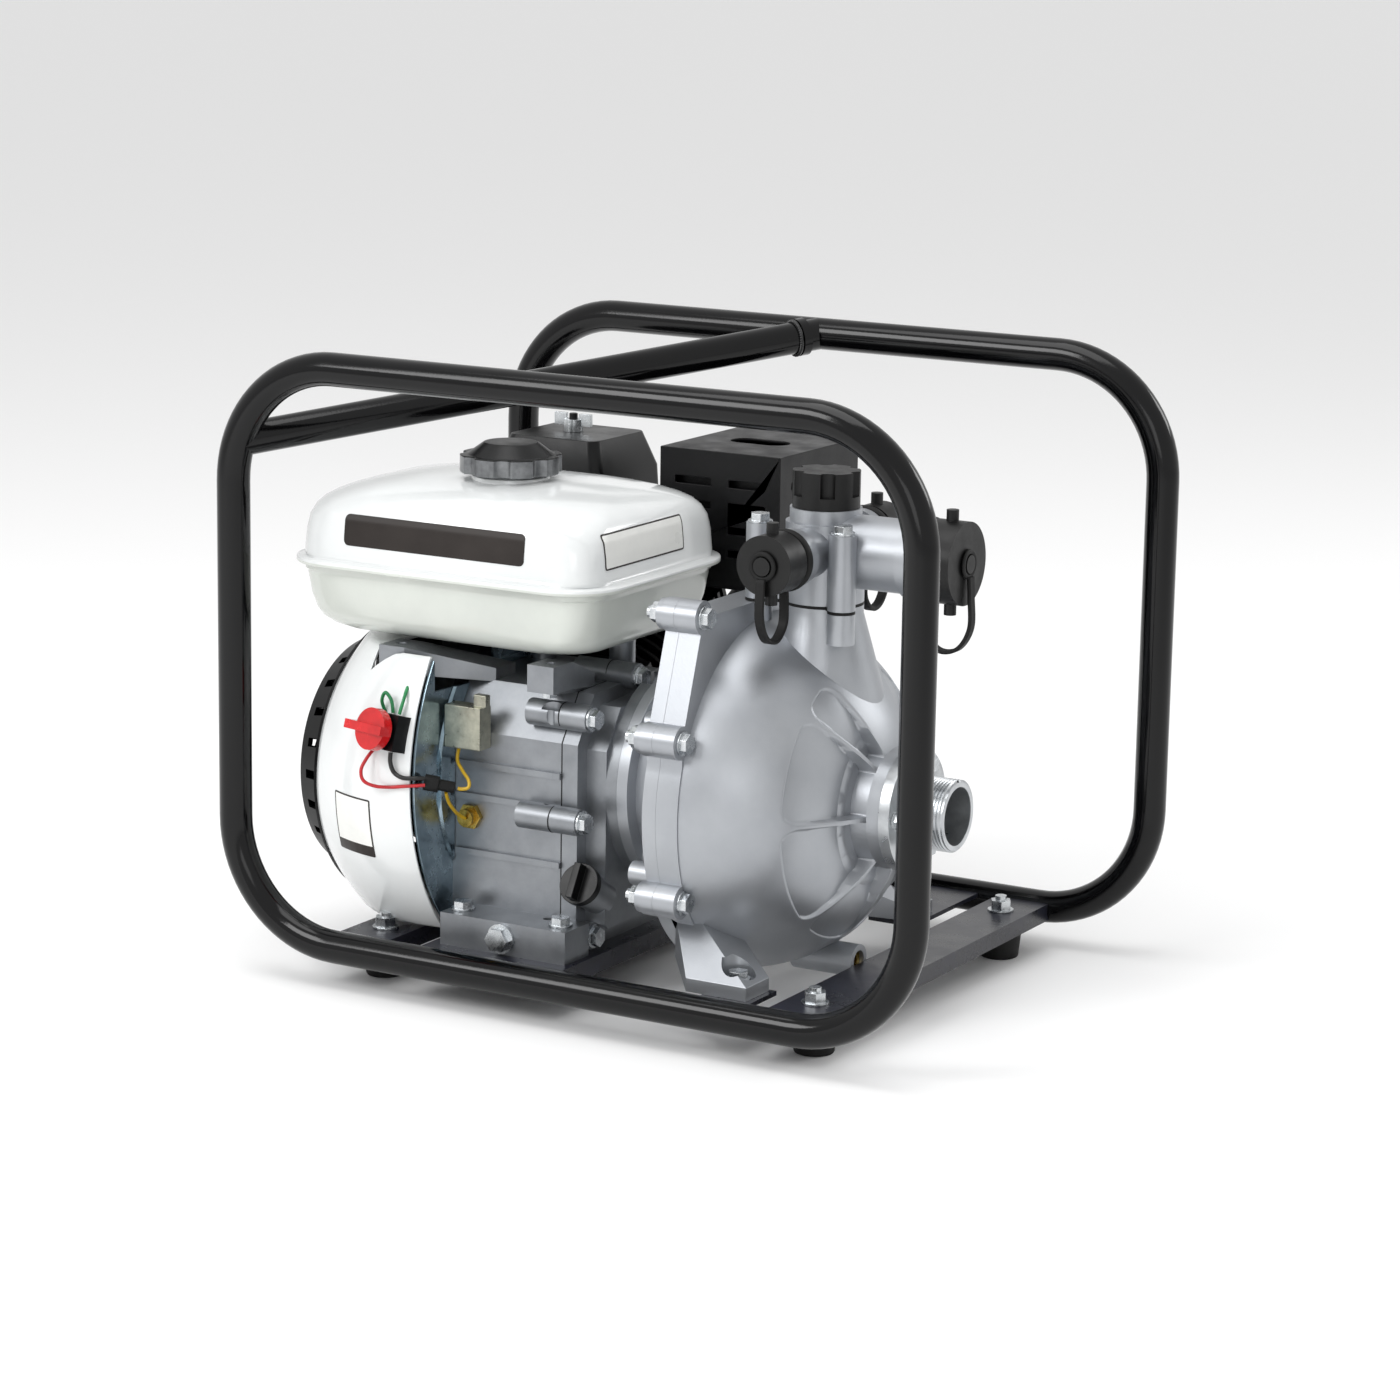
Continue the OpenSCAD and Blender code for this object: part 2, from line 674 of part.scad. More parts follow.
module starter_grip() {
    r = 8;
    turn = -atan2(grip_at[0], grip_at[1]);
    color("#121212") translate([shroud_x0 - 24 - r - 0.3, shaft_y, shaft_z]) rotate([turn, 0, 0]) {
        translate([0, 0, norm(grip_at)]) rotate([-90, 0, 0]) rotate_extrude() polygon([
            [0, -43], [r - 3, -43], [r - 1, -41], [r, -37], [r, 37], [r - 1, 41], [r - 3, 43], [0, 43]
        ]);
    }
}

// ---------- fuel tank ----------

// Four-cornered body through levels of [height above the seam, inset, corner radius]
module tank_form(levels, inset = 0) {
    hull() for (v = levels, sx = [-1, 1], sy = [-1, 1]) {
        translate([
            tank_x + sx * (tank_l / 2 - v[1] - v[2]), tank_y + sy * (tank_w / 2 - v[1] - v[2]), seam_z + v[0]
        ]) cylinder(r = v[2] - inset, h = 0.1, $fn = 32);
    }
}

module tank_seam(t) {
    for (k = [0, 1]) translate([tank_x, tank_y, seam_z]) linear_extrude(t) {
        x = tank_l / 2 + tank_flange;
        y = tank_w / 2 + tank_flange;
        r = 38;
        square([2 * x - 2 * r * k, 2 * y - 2 * r * (1 - k)], center = true);
        for (sx = [-1, 1], sy = [-1, 1]) translate([sx * (x - r), sy * (y - r)]) circle(r);
    }
}

module tank_lower() {
    outer = [[0, 0, 34], [-12, 1, 34], [-38, 9, 30], [-tank_lower_h, 20, 24]];
    inner = [[0.1, 0, 34], [-12, 1, 34], [-38, 9, 30], [-tank_lower_h + sheet_t, 20, 24]];
    color("#efeee4") difference() {
        union() {
            tank_form(outer);
            translate([0, 0, -sheet_t]) tank_seam(sheet_t);
            for (x = arm_x) translate([x - 10, arm_y - 12, tank_bottom - 2]) cube([20, 26, 10]);
            for (x = [case_x0 + 11, case_x1 - 12]) translate([x, shaft_y + 12, tank_bottom]) {
                cylinder(r = 9, h = 1);
            }
        }
        tank_form(inner, sheet_t);
        for (x = arm_x) translate([x, arm_y, tank_bottom - 3]) cylinder(d = 6 + 2 * bolt_gap, h = 8);
        tank_seam(5);
    }
}

module tank_upper() {
    outer = [[0, 0, 34], [34, 2, 34], [48, 10, 32], [tank_upper_h - 1, 34, 28]];
    inner = [[-0.1, 0, 34], [34, 2, 34], [48, 10, 32], [tank_upper_h - 1 - sheet_t, 34, 28]];
    color("#f6f6f2") difference() {
        union() {
            tank_form(outer);
            tank_seam(sheet_t);
            translate([cap_at[0], cap_at[1], tank_top - 5]) cylinder(r = neck_r + 4, h = 7);
        }
        tank_form(inner, sheet_t);
        translate([cap_at[0], cap_at[1], tank_top - 10]) cylinder(r = neck_r, h = 20);
        translate([0, 0, -5]) tank_seam(5);
    }
}

module fuel_cap() {
    r = fuel_cap_d / 2;
    lobes = 8;
    translate([cap_at[0], cap_at[1], tank_top + 2]) {
        color("#8c8f92") difference() {
            cylinder(r = r, h = 12);
            for (i = [0:lobes - 1]) rotate((i + 0.5) * 360 / lobes) translate([r + 3.5, 0, -1]) {
                cylinder(r = 7, h = 14);
            }
        }
        color("#17181c") translate([0, 0, 12]) cylinder(r1 = r - 5, r2 = r - 16, h = 8);
        color("#8c8f92") translate([0, 0, -10]) cylinder(r = neck_r - 0.3, h = 10.5);
    }
}

// ---------- air filter, carburettor, muffler ----------

filter_top = filter_z + 78;
stud_r = 3;
stud_x = filter_at[0] - 3;
intake_at = [filter_at[0] + 18, filter_at[1] + 4];

module filter_base() {
    color("#1c1c1e") difference() {
        translate([filter_at[0] - filter_size[0] / 2, filter_at[1] - filter_size[1] / 2, filter_z]) {
            cube([filter_size[0], filter_size[1], 14]);
        }
        translate([intake_at[0], intake_at[1], filter_z - 1]) cylinder(r = 10, h = 30);
    }
    color("#a9abad") translate([stud_x, filter_at[1], filter_z + 13]) {
        cylinder(r = stud_r, h = filter_top - filter_z);
    }
}

module filter_element() {
    color("#4a4d48") translate([filter_at[0], filter_at[1], filter_z + 14]) difference() {
        translate([-38, -34, 0]) cube([76, 68, 44]);
        translate([-12, -18, -1]) cube([42, 38, 60]);
    }
}

module filter_cover() {
    module form(inset) hull() for (v = [[0, 0], [40, 2], [filter_top - filter_z - 14 - inset, 10]]) {
        for (sx = [-1, 1], sy = [-1, 1]) translate([
            filter_at[0] + sx * (filter_size[0] / 2 - v[1] - 8),
            filter_at[1] + sy * (filter_size[1] / 2 - v[1] - 8), filter_z + 14 + v[0] - 0.1
        ]) cylinder(r = 8 - inset, h = 0.1, $fn = 32);
    }
    color("#17181b") difference() {
        form(0);
        form(sheet_t);
        box([-400, -100, filter_z], [0, 400, filter_z + 14]);
        translate([stud_x, filter_at[1], filter_z]) cylinder(r = stud_r + seat_gap, h = 100);
    }
}

module wing_nut() {
    color("#c9cbcd") translate([stud_x, filter_at[1], filter_top]) difference() {
        union() {
            cylinder(r = 7, h = 9);
            for (side = [-1, 1]) translate([side * 10 - 5, -1.25, 4]) cube([10, 2.5, 9]);
        }
        translate([0, 0, -1]) cylinder(r = stud_r + seat_gap, h = 12);
    }
}

carb_at = [-142, 99, 207];

module carburettor() {
    color("#9fa2a5") difference() {
        translate(carb_at) {
            translate([-16, -19, -17]) cube([32, 38, 34]);
            translate([0, 0, -42]) cylinder(r = 15, h = 26);
            translate([15, 0, 0]) rotate([0, 90, 0]) {
                cylinder(r = 14, h = cyl_x - fin_w / 2 - carb_at[0] - 15);
            }
            translate([intake_at[0] - carb_at[0], 5, 16]) cylinder(r = 14, h = filter_z - carb_at[2] - 16);
        }
        translate(carb_at + [-17, -9, 8]) rotate([0, 90, 0]) cylinder(r = 2.5 + run_gap, h = 9);
        translate(carb_at + [-17, 8, -10]) rotate([0, 90, 0]) cylinder(r = 2.5 + run_gap, h = 9);
        translate(carb_at + [10, -13, 9]) cylinder(r = 2.5 + run_gap, h = 9);
    }
}

// Flat lever on a pin: the pin runs down into its hole, the arm lies along X
module lever(l, w = 10) {
    translate([0, 0, -7]) cylinder(r = 2.5, h = 9);
    translate([0, 0, 0.3]) cylinder(r = w / 2, h = 2.5);
    translate([0, -w / 2 + 1.5, 0.3]) cube([l, w - 3, 2.5]);
    translate([l, 0, 0.3]) cylinder(r = w / 2, h = 5);
}

module choke_lever() {
    color("#232427") translate(carb_at + [-16, -9, 8]) rotate([0, -90, 0]) lever(22);
}

module fuel_tap() {
    color("#232427") translate(carb_at + [-16, 8, -10]) rotate([0, -90, 0]) rotate(100) lever(18);
}

module throttle_lever() {
    color("#3d4044") translate(carb_at + [10, -13, 17]) rotate(-90) lever(30);
}

module muffler() {
    x = guard_at[0] - 31;
    color("#4b4c4e") difference() {
        union() {
            translate([guard_at[0], guard_at[1], guard_z + 8]) {
                translate([-39, -48, 0]) cube([78, 96, 78]);
                for (sx = [-1, 1], y = [-30, 30]) translate([sx * 38, y, 40]) rotate([0, sx * 90, 0]) {
                    cylinder(r = 5, h = guard_size[0] / 2 - sheet_t - 38);
                }
            }
            translate([x, 86, shaft_z + 80]) cylinder(r = 13, h = guard_z + 9 - shaft_z - 80);
        }
        at_cylinder(deck_s - 20) translate([-fin_w / 2 - 1, -60, 0]) cube([fin_w + 2, 100, head_t + 20]);
    }
}

module muffler_guard() {
    w = guard_size[0];
    d = guard_size[1];
    h = guard_size[2];
    color("#141416") translate([guard_at[0] - w / 2, guard_at[1] - d / 2, guard_z]) difference() {
        cube([w, d, h]);
        translate([sheet_t, sheet_t, -1]) cube([w - 2 * sheet_t, d - 2 * sheet_t, h + 1 - sheet_t]);
        for (row = [0:3], col = [0, 1]) {
            translate([12 + col * 42, -1, 22 + row * 16]) cube([28, 6, 5]);
            translate([w - 5, 16 + col * 48, 22 + row * 16]) cube([6, 32, 5]);
            translate([-1, 16 + col * 48, 22 + row * 16]) cube([6, 32, 5]);
        }
        for (x = [0, 22]) translate([w / 2 - 11 + x, d / 2, h - 5]) cylinder(r = 11, h = 6);
        translate([w / 2 - 11, d / 2 - 11, h - 5]) cube([22, 22, 6]);
    }
}

// ---------- electrics ----------

// The stop switch's axis: its seat on the shroud's near side
module at_switch() translate([-140, -159, shaft_z + 34]) rotate([75, 0, -15]) children();

module switch_body() {
    color("#17181a") difference() {
        at_switch() {
            translate([-15, -12, 0]) cube([30, 24, 12]);
            cylinder(r = 12, h = 14);
        }
        at_switch() translate([0, 0, 5]) cylinder(r = 4 + run_gap, h = 20);
        fan_shroud_body();
    }
}

// The shroud's outside as a solid, which the switch is cut to
module fan_shroud_body() {
    hull() {
        along_shaft(rim_x + 6, 0.01) rim_outline(-0.3);
        along_shaft(shroud_x0, 0.01) translate([0, recoil_dz]) circle(recoil_r + 9.3);
    }
}

module switch_knob() {
    color("#c8161c") at_switch() {
        translate([0, 0, 14.3]) cylinder(r = 14, h = 7);
        translate([-22, -3, 14.3]) cube([36, 6, 10]);
        translate([0, 0, 6]) cylinder(r = 4, h = 9);
    }
}

module oil_relay() {
    color("#a3a58f") translate([case_x0 + 2, shaft_y + case_front - 14, shaft_z + 22]) {
        cube([28, 14, 29]);
        translate([20, 4, 29]) cube([10, 6, 8]);
    }
}

module oil_sensor() {
    color("#b59a4d") translate([case_x0 + 15, shaft_y + case_front, shaft_z - 26]) rotate([90, 0, 0]) {
        cylinder(r = 9, h = 4, $fn = 6);
        cylinder(r = 6, h = 9);
        translate([0, 0, -case_wall]) cylinder(r = 5, h = case_wall + 0.1);
    }
}

lead_r = 1.2;

// Black lead from the switch, with the sleeve that joins the leads beside the back plate
module wire_black() {
    color("#0d0d0d") sweep([
        [-134.7, -169.9, 163.2], [-134.3, -171, 157], [-131.5, -171, 150.5], [-125, -170.5, 147.5],
        [-117, -167.5, 147.5], [-112.8, -163.2, 147.3]
    ], lead_r + 0.3, [0.3, 0.2, 1]);
    color("#1a1a1a") translate([-117, -158, 143.5]) rotate([0, 0, 28]) rotate([0, 100, 0]) {
        cylinder(r = 5.5, h = 11);
        translate([0, 0, 11]) cylinder(r = 3.5, h = 11);
    }
}

module wire_red() {
    color("#b8141a") sweep([
        [-150, -166.6, 163.2], [-152.5, -172, 157], [-154, -176, 150], [-152, -176, 143], [-144, -174, 140],
        [-134, -170.5, 140], [-125, -169.5, 141.5], [-117, -167, 142.5], [-112.2, -163.4, 142.8]
    ], lead_r, [0.2, 0.4, 1]);
}

module wire_green() {
    color("#1f8a4c") {
        sweep([
            [-145.5, -160.4, 187.8], [-147, -162, 195], [-143.5, -163, 201], [-139.5, -162, 196],
            [-138, -162.2, 187.8]
        ], lead_r, [0, 1, 0]);
        sweep([
            [-132, -163.9, 187.8], [-131, -161, 196], [-132, -155, 203], [-134, -149.2, 205]
        ], lead_r, [1, 0, 0]);
    }
}

module wire_yellow() {
    color("#c9a516") {
        sweep([
            [-110, -126, 161.6], [-108, -131, 154], [-100, -137, 149], [-92, -142, 144.5],
            [-90.5, -144.5, 140.5], [-94.4, -146, 139.1], [-97, -147.3, 139.5]
        ], lead_r, [0.3, 1, 0.2]);
        sweep([
            [-104.5, -150, 136.2], [-106, -144, 128], [-106, -136, 120], [-104.5, -130, 115.5],
            [-104, -127.7, 114.3]
        ], lead_r, [1, 0, 0]);
    }
}

// ---------- pump ----------

flange_r = dome_r;

module casing_outline() {
    circle(flange_r);
    polygon(casing_bolts);
    for (p = casing_bolts) translate(p) circle(ear_r);
}

module pump_back() {
    x1 = split_x;
    x0 = split_x - back_flange_t;
    color("#a8abae") difference() {
        union() {
            at_shaft() rotate_extrude() polygon([
                [30, 0], [72, 0], [72, 8], [64, 10], [66, 20], [88, x0 - 12], [flange_r - 8, x0 - 3],
                [flange_r - 4, x0 + 1], [flange_r - 4, x1], [30, x1]
            ]);
            along_shaft(x0, back_flange_t) casing_outline();
            round_shaft(casing_bolts, x0 - 4) cylinder(r = ear_r - 1, h = 5);
            round_shaft([[-85, 44], [-85, -46]], 22) cylinder(r = 8, h = x0 - 26);
        }
        at_shaft(-1) cylinder(r = 45, h = x0 - 10);
        at_shaft(-1) cylinder(r = 18 + seat_gap, h = x1 + 2);
        at_shaft(x0 + 2) cylinder(r = chamber_r, h = 20);
        round_shaft(casing_bolts, x0 - 10) cylinder(d = 8 + 2 * bolt_gap, h = 40);
        for (a = [45:90:315]) at_shaft(-1) rotate(a) translate([pto_bolt_r, 0]) {
            cylinder(d = 8 + 2 * bolt_gap, h = 12);
            translate([0, 0, 9]) cylinder(r = 9, h = 12);
        }
    }
}

module shaft_seal() {
    color("#2b2b2d") at_shaft(split_x - back_flange_t - 8) difference() {
        cylinder(r = 18, h = 9);
        translate([0, 0, -1]) cylinder(r = output_r + run_gap, h = 12);
    }
}

// Closed impeller: two shrouds, curved vanes between them, a hub and an eye ring
module impeller() {
    vanes = 6;
    r = impeller_d / 2;
    x = split_x - 4;
    color("#b08d4a") difference() {
        union() {
            at_shaft(x) cylinder(r = r, h = 4);
            at_shaft(x + 16) cylinder(r = r, h = 4);
            at_shaft(x) cylinder(r = 18, h = 30);
            at_shaft(x + 16) cylinder(r = eye_r + 5, h = 14);
            for (i = [0:vanes - 1]) at_shaft(x + 3) rotate(i * 360 / vanes) translate([r / 2 + 8, 14, 0]) {
                difference() {
                    cylinder(r = r / 2 - 10, h = 14);
                    translate([0, 0, -1]) cylinder(r = r / 2 - 14, h = 16);
                    translate([-r, -r + 2, -1]) cube([2 * r, r, 16]);
                }
            }
        }
        at_shaft(x + 15) difference() {
            cylinder(r = eye_r, h = 20);
            translate([0, 0, -1]) cylinder(r = 14, h = 30);
        }
        at_shaft(x - 1) cylinder(r = output_r + seat_gap, h = 40);
    }
}

// Distance along the shaft and radius of the dome at an angle from its rim
function dome_pt(a, less = 0) = [(dome_r - less) * cos(a), split_x + (dome_l - less) * sin(a)];

module volute() {
    hub_a = acos(hub_r / dome_r);
    leg_from = [-92, 60];
    color("#c3c6c9") difference() {
        union() {
            at_shaft() rotate_extrude() polygon(concat(
                [[0, split_x], [dome_r, split_x]], [for (i = [0:12]) dome_pt(hub_a * i / 12)],
                [[hub_r - 2, inlet_face], [0, inlet_face]]
            ));
            along_shaft(split_x, flange_t) casing_outline();
            // Outlet neck
            translate([riser_x, shaft_y, shaft_z + 60]) cylinder(r1 = 44, r2 = riser_r, h = riser_h - 66);
            translate([riser_x, shaft_y, shaft_z + riser_h - 8]) cylinder(r = riser_r, h = 8);
            for (p = manifold_bolts) translate([riser_x + p[0], shaft_y + p[1], shaft_z + riser_h - 20]) {
                cylinder(r = 9, h = 20);
            }
            // Drain boss
            translate([split_x + 40, shaft_y, shaft_z - 107]) rotate([0, 90, 0]) cylinder(r = 11, h = 46);
            for (i = [0, 1]) hull() {
                translate([split_x, shaft_y + leg_from[i], shaft_z - 96]) cube([flange_t, 32, 30]);
                translate([leg_x - 30, shaft_y + leg_y[i] - 15, plate_top]) cube([44, 30, 9]);
            }
        }
        at_shaft() rotate_extrude() polygon(concat(
            [[eye_r + 6, split_x - 1], [dome_r - casing_wall, split_x - 1]],
            [for (i = [0:10]) dome_pt(65 * i / 10, casing_wall)], [[eye_r + 6, dome_pt(65, casing_wall)[1]]]
        ));
        at_shaft(split_x - 1) cylinder(r = eye_r + 8, h = 29);
        at_shaft(split_x) cylinder(r = eye_r, h = 200);
        translate([riser_x, shaft_y, shaft_z + 50]) cylinder(r = 17, h = riser_h);
        round_shaft(casing_bolts, split_x - 1) cylinder(d = 8 + 2 * bolt_gap, h = 40);
        round_shaft(casing_bolts, split_x + flange_t) cylinder(r = 8.5, h = 14);
        for (p = manifold_bolts) translate([riser_x + p[0], shaft_y + p[1], shaft_z + riser_h - 16]) {
            cylinder(d = 8 + 2 * bolt_gap, h = 30);
        }
        translate([split_x + 66, shaft_y, shaft_z - 107]) rotate([0, 90, 0]) {
            cylinder(r = 7 + seat_gap, h = 30);
        }
        for (y = leg_y) {
            translate([leg_x, shaft_y + y, 0]) cylinder(d = stud_d + 2 * bolt_gap, h = plate_top + 12);
            translate([leg_x, shaft_y + y, plate_top + 9]) cylinder(r = 11, h = 14);
        }
        for (a = [30:120:270]) at_shaft(inlet_face - 10) rotate(a) translate([32, 0]) {
            cylinder(d = 6 + 2 * bolt_gap, h = 20);
        }
    }
}

// Bolts and nuts of the casing split, bolts of the inlet flange and of the outlet stack
module pump_bolts() {
    color("#cfd1d3") {
        for (p = casing_bolts) translate([0, shaft_y + p[0], shaft_z + p[1]]) rotate([0, 90, 0]) {
            translate([0, 0, split_x + flange_t]) hex_bolt(8, flange_t + back_flange_t + 14);
            translate([0, 0, split_x - back_flange_t - 10.5]) cylinder(r = 7, h = 6.5, $fn = 6);
        }
        for (a = [30:120:270]) at_shaft(inlet_face + inlet_flange_t) rotate(a) translate([32, 0]) {
            hex_bolt(6, 17);
        }
        for (p = manifold_bolts) translate([riser_x + p[0], shaft_y + p[1], manifold_z + lug_h]) {
            hex_bolt(8, lug_h + gasket_t + 14);
        }
    }
}

module pump_drain_plug() {
    color("#b9a46a") translate([split_x + 67, shaft_y, shaft_z - 107]) rotate([0, 90, 0]) difference() {
        cylinder(r = 7, h = 16);
        translate([0, 0, 10]) cylinder(r = 3.5, h = 10, $fn = 6);
    }
}

module inlet_pipe() {
    color("#c9cccf") difference() {
        union() {
            at_shaft(inlet_face) cylinder(r = 41, h = inlet_flange_t);
            at_shaft(inlet_face + inlet_flange_t) cylinder(d = inlet_d, h = inlet_l);
        }
        at_shaft(inlet_face - 1) cylinder(d = inlet_bore, h = 80);
        for (a = [30:120:270]) at_shaft(inlet_face - 1) rotate(a) translate([32, 0]) {
            cylinder(d = 6 + 2 * bolt_gap, h = 20);
        }
    }
}

module outlet_gasket() {
    color("#1b1b1b") translate([riser_x, shaft_y, shaft_z + riser_h]) linear_extrude(gasket_t) difference() {
        union() {
            circle(riser_r);
            for (p = manifold_bolts) translate(p) circle(9);
            for (p = manifold_bolts) rotate(atan2(p[1], p[0])) translate([0, -7]) square([norm(p), 14]);
        }
        circle(17);
        for (p = manifold_bolts) translate(p) circle(d = 8 + 2 * bolt_gap);
    }
}

// Puts a shape's X axis on an outlet, pointing outwards
module at_outlet(k) translate([riser_x, shaft_y, port_z]) rotate(outlets[k][0]) children();

// Inside radius of an outlet's neck, and outside radius of its thread
function neck_out(k) = outlets[k][2] - cap_wall - thread_gap;

module manifold() {
    color("#c6c9cc") difference() {
        union() {
            translate([riser_x, shaft_y, manifold_z]) cylinder(r = riser_r, h = 52);
            translate([riser_x, shaft_y, manifold_z + 50]) {
                cylinder(d = prime_cap_d + 3, h = collar_z - manifold_z - 50);
            }
            for (p = manifold_bolts) translate([riser_x + p[0], shaft_y + p[1], manifold_z]) {
                cylinder(r = 9, h = lug_h);
            }
            for (p = manifold_bolts) translate([riser_x, shaft_y, manifold_z]) rotate(atan2(p[1], p[0])) {
                translate([0, -6, 0]) cube([norm(p) - 4, 12, lug_h - 5]);
            }
            for (k = [0:2]) at_outlet(k) rotate([0, 90, 0]) {
                cylinder(r = neck_out(k), h = outlets[k][1] + 14);
                translate([0, 0, outlets[k][1] - 17]) cylinder(r = neck_out(k) + 2.5, h = 8);
            }
        }
        translate([riser_x, shaft_y, manifold_z - 1]) cylinder(r = 17, h = 80);
        for (k = [0:2]) at_outlet(k) rotate([0, 90, 0]) cylinder(r = min(neck_out(k) - port_wall, 16), h = 200);
        for (p = manifold_bolts) translate([riser_x + p[0], shaft_y + p[1], manifold_z - 1]) {
            cylinder(d = 8 + 2 * bolt_gap, h = lug_h + 2);
        }
    }
}

module priming_cap() {
    r = prime_cap_d / 2;
    color("#151515") translate([riser_x, shaft_y, collar_z]) {
        difference() {
            cylinder(r = r, h = 24);
            for (i = [0:5]) rotate(i * 60) translate([r + 1, 0, 8]) cylinder(r = 5, h = 20);
        }
        translate([0, 0, -11]) cylinder(r = 17 - thread_gap, h = 11.5);
    }
}

module outlet_cap(k) {
    r = outlets[k][2];
    color("#121212") at_outlet(k) translate([outlets[k][1], 0, 0]) rotate([0, 90, 0]) {
        difference() {
            union() {
                cylinder(r = r, h = cap_depth);
                for (turn = [0, 180]) rotate(turn) translate([0, 0, cap_depth / 2]) rotate([0, 90, 0]) {
                    cylinder(r = 4, h = r + 7);
                }
            }
            translate([0, 0, -1]) cylinder(r = r - cap_wall, h = 15.3);
        }
        translate([0, 0, cap_depth - 0.1]) cylinder(r = 6, h = 3.1);
    }
}

module near_cap() outlet_cap(0);
module front_cap() outlet_cap(1);
module far_cap() outlet_cap(2);

// Rubber keepers: a ring round each outlet's neck, a hanging loop and a ring round the cap's button
module cap_straps() {
    color("#161616") for (k = [0:2]) at_outlet(k) {
        d = outlets[k][1];
        r = outlets[k][2];
        neck = neck_out(k);
        translate([d - 8.4, 0, 0]) rotate([0, 90, 0]) difference() {
            cylinder(r = neck + 4, h = 6.4);
            translate([0, 0, -1]) cylinder(r = neck + 0.2, h = 20);
        }
        translate([d + cap_depth + 0.3, 0, 0]) rotate([0, 90, 0]) difference() {
            cylinder(r = 9.5, h = 2.5);
            translate([0, 0, -1]) cylinder(r = 6.3, h = 20);
        }
        sweep([
            [d - 5.2, 0, -neck - 2.5], [d - 6, 0, -neck - 12], [d - 5, 0, -r - 22], [d + 5, 0, -r - 31],
            [d + 18, 0, -r - 28], [d + 26, 0, -r - 14], [d + cap_depth + 3.6, 0, -r + 6],
            [d + cap_depth + 2.9, 0, -8.2]
        ], strap_r * 0.8, [0, 1, 0]);
    }
}

near_loop();
far_loop();
cross_tube();
base_plates();
rubber_feet();
mounting_bolts();
crankcase();
side_cover();
engine_bolts();
drain_plug();
dipstick();
barrel();
cylinder_head();
rocker_cover();
spark_plug();
plug_boot();
crankshaft();
connecting_rod();
piston();
flywheel();
back_plate();
fan_shroud();
recoil_cover();
starter_pulley();
starter_grip();
tank_lower();
tank_upper();
fuel_cap();
filter_base();
filter_element();
filter_cover();
wing_nut();
carburettor();
choke_lever();
fuel_tap();
throttle_lever();
muffler();
muffler_guard();
switch_body();
switch_knob();
oil_relay();
oil_sensor();
wire_black();
wire_red();
wire_green();
wire_yellow();
pump_back();
shaft_seal();
impeller();
volute();
pump_bolts();
pump_drain_plug();
inlet_pipe();
outlet_gasket();
manifold();
priming_cap();
near_cap();
front_cap();
far_cap();
cap_straps();
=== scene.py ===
import json
import math

import bpy
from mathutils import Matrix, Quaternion, Vector


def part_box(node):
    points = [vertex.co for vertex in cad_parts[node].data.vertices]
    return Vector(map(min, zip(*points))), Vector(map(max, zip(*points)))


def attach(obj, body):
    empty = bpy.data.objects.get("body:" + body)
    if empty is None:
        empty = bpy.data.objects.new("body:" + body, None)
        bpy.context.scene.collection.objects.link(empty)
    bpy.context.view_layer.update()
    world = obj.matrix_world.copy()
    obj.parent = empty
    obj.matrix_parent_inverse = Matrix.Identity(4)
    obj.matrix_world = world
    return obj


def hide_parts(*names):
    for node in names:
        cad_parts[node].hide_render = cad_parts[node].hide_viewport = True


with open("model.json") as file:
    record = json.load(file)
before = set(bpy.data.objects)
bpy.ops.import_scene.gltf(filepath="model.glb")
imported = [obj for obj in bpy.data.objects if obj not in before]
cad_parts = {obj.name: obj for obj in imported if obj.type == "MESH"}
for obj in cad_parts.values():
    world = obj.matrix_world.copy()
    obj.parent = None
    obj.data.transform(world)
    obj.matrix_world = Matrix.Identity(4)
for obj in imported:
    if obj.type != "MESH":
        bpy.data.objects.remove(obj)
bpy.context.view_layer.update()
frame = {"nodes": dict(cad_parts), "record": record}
record = frame["record"]
bodyOf = {node: body for body, nodes in record["behaviour"]["bodies"].items() for node in nodes}
print("frame loaded:", len(frame["nodes"]), "nodes")


def hexToLinear(code):
    parts = [int(code[i:i + 2], 16) / 255 for i in (1, 3, 5)]
    return [c / 12.92 if c <= 0.04045 else ((c + 0.055) / 1.055) ** 2.4 for c in parts] + [1.0]


def addNode(tree, kind, settings=None, links=None):
    node = tree.nodes.new(kind)
    for key, value in (settings or {}).items():
        if key in node.inputs:
            node.inputs[key].default_value = value
        else:
            setattr(node, key, value)
    for key, socket in (links or {}).items():
        tree.links.new(socket, node.inputs[key])
    return node


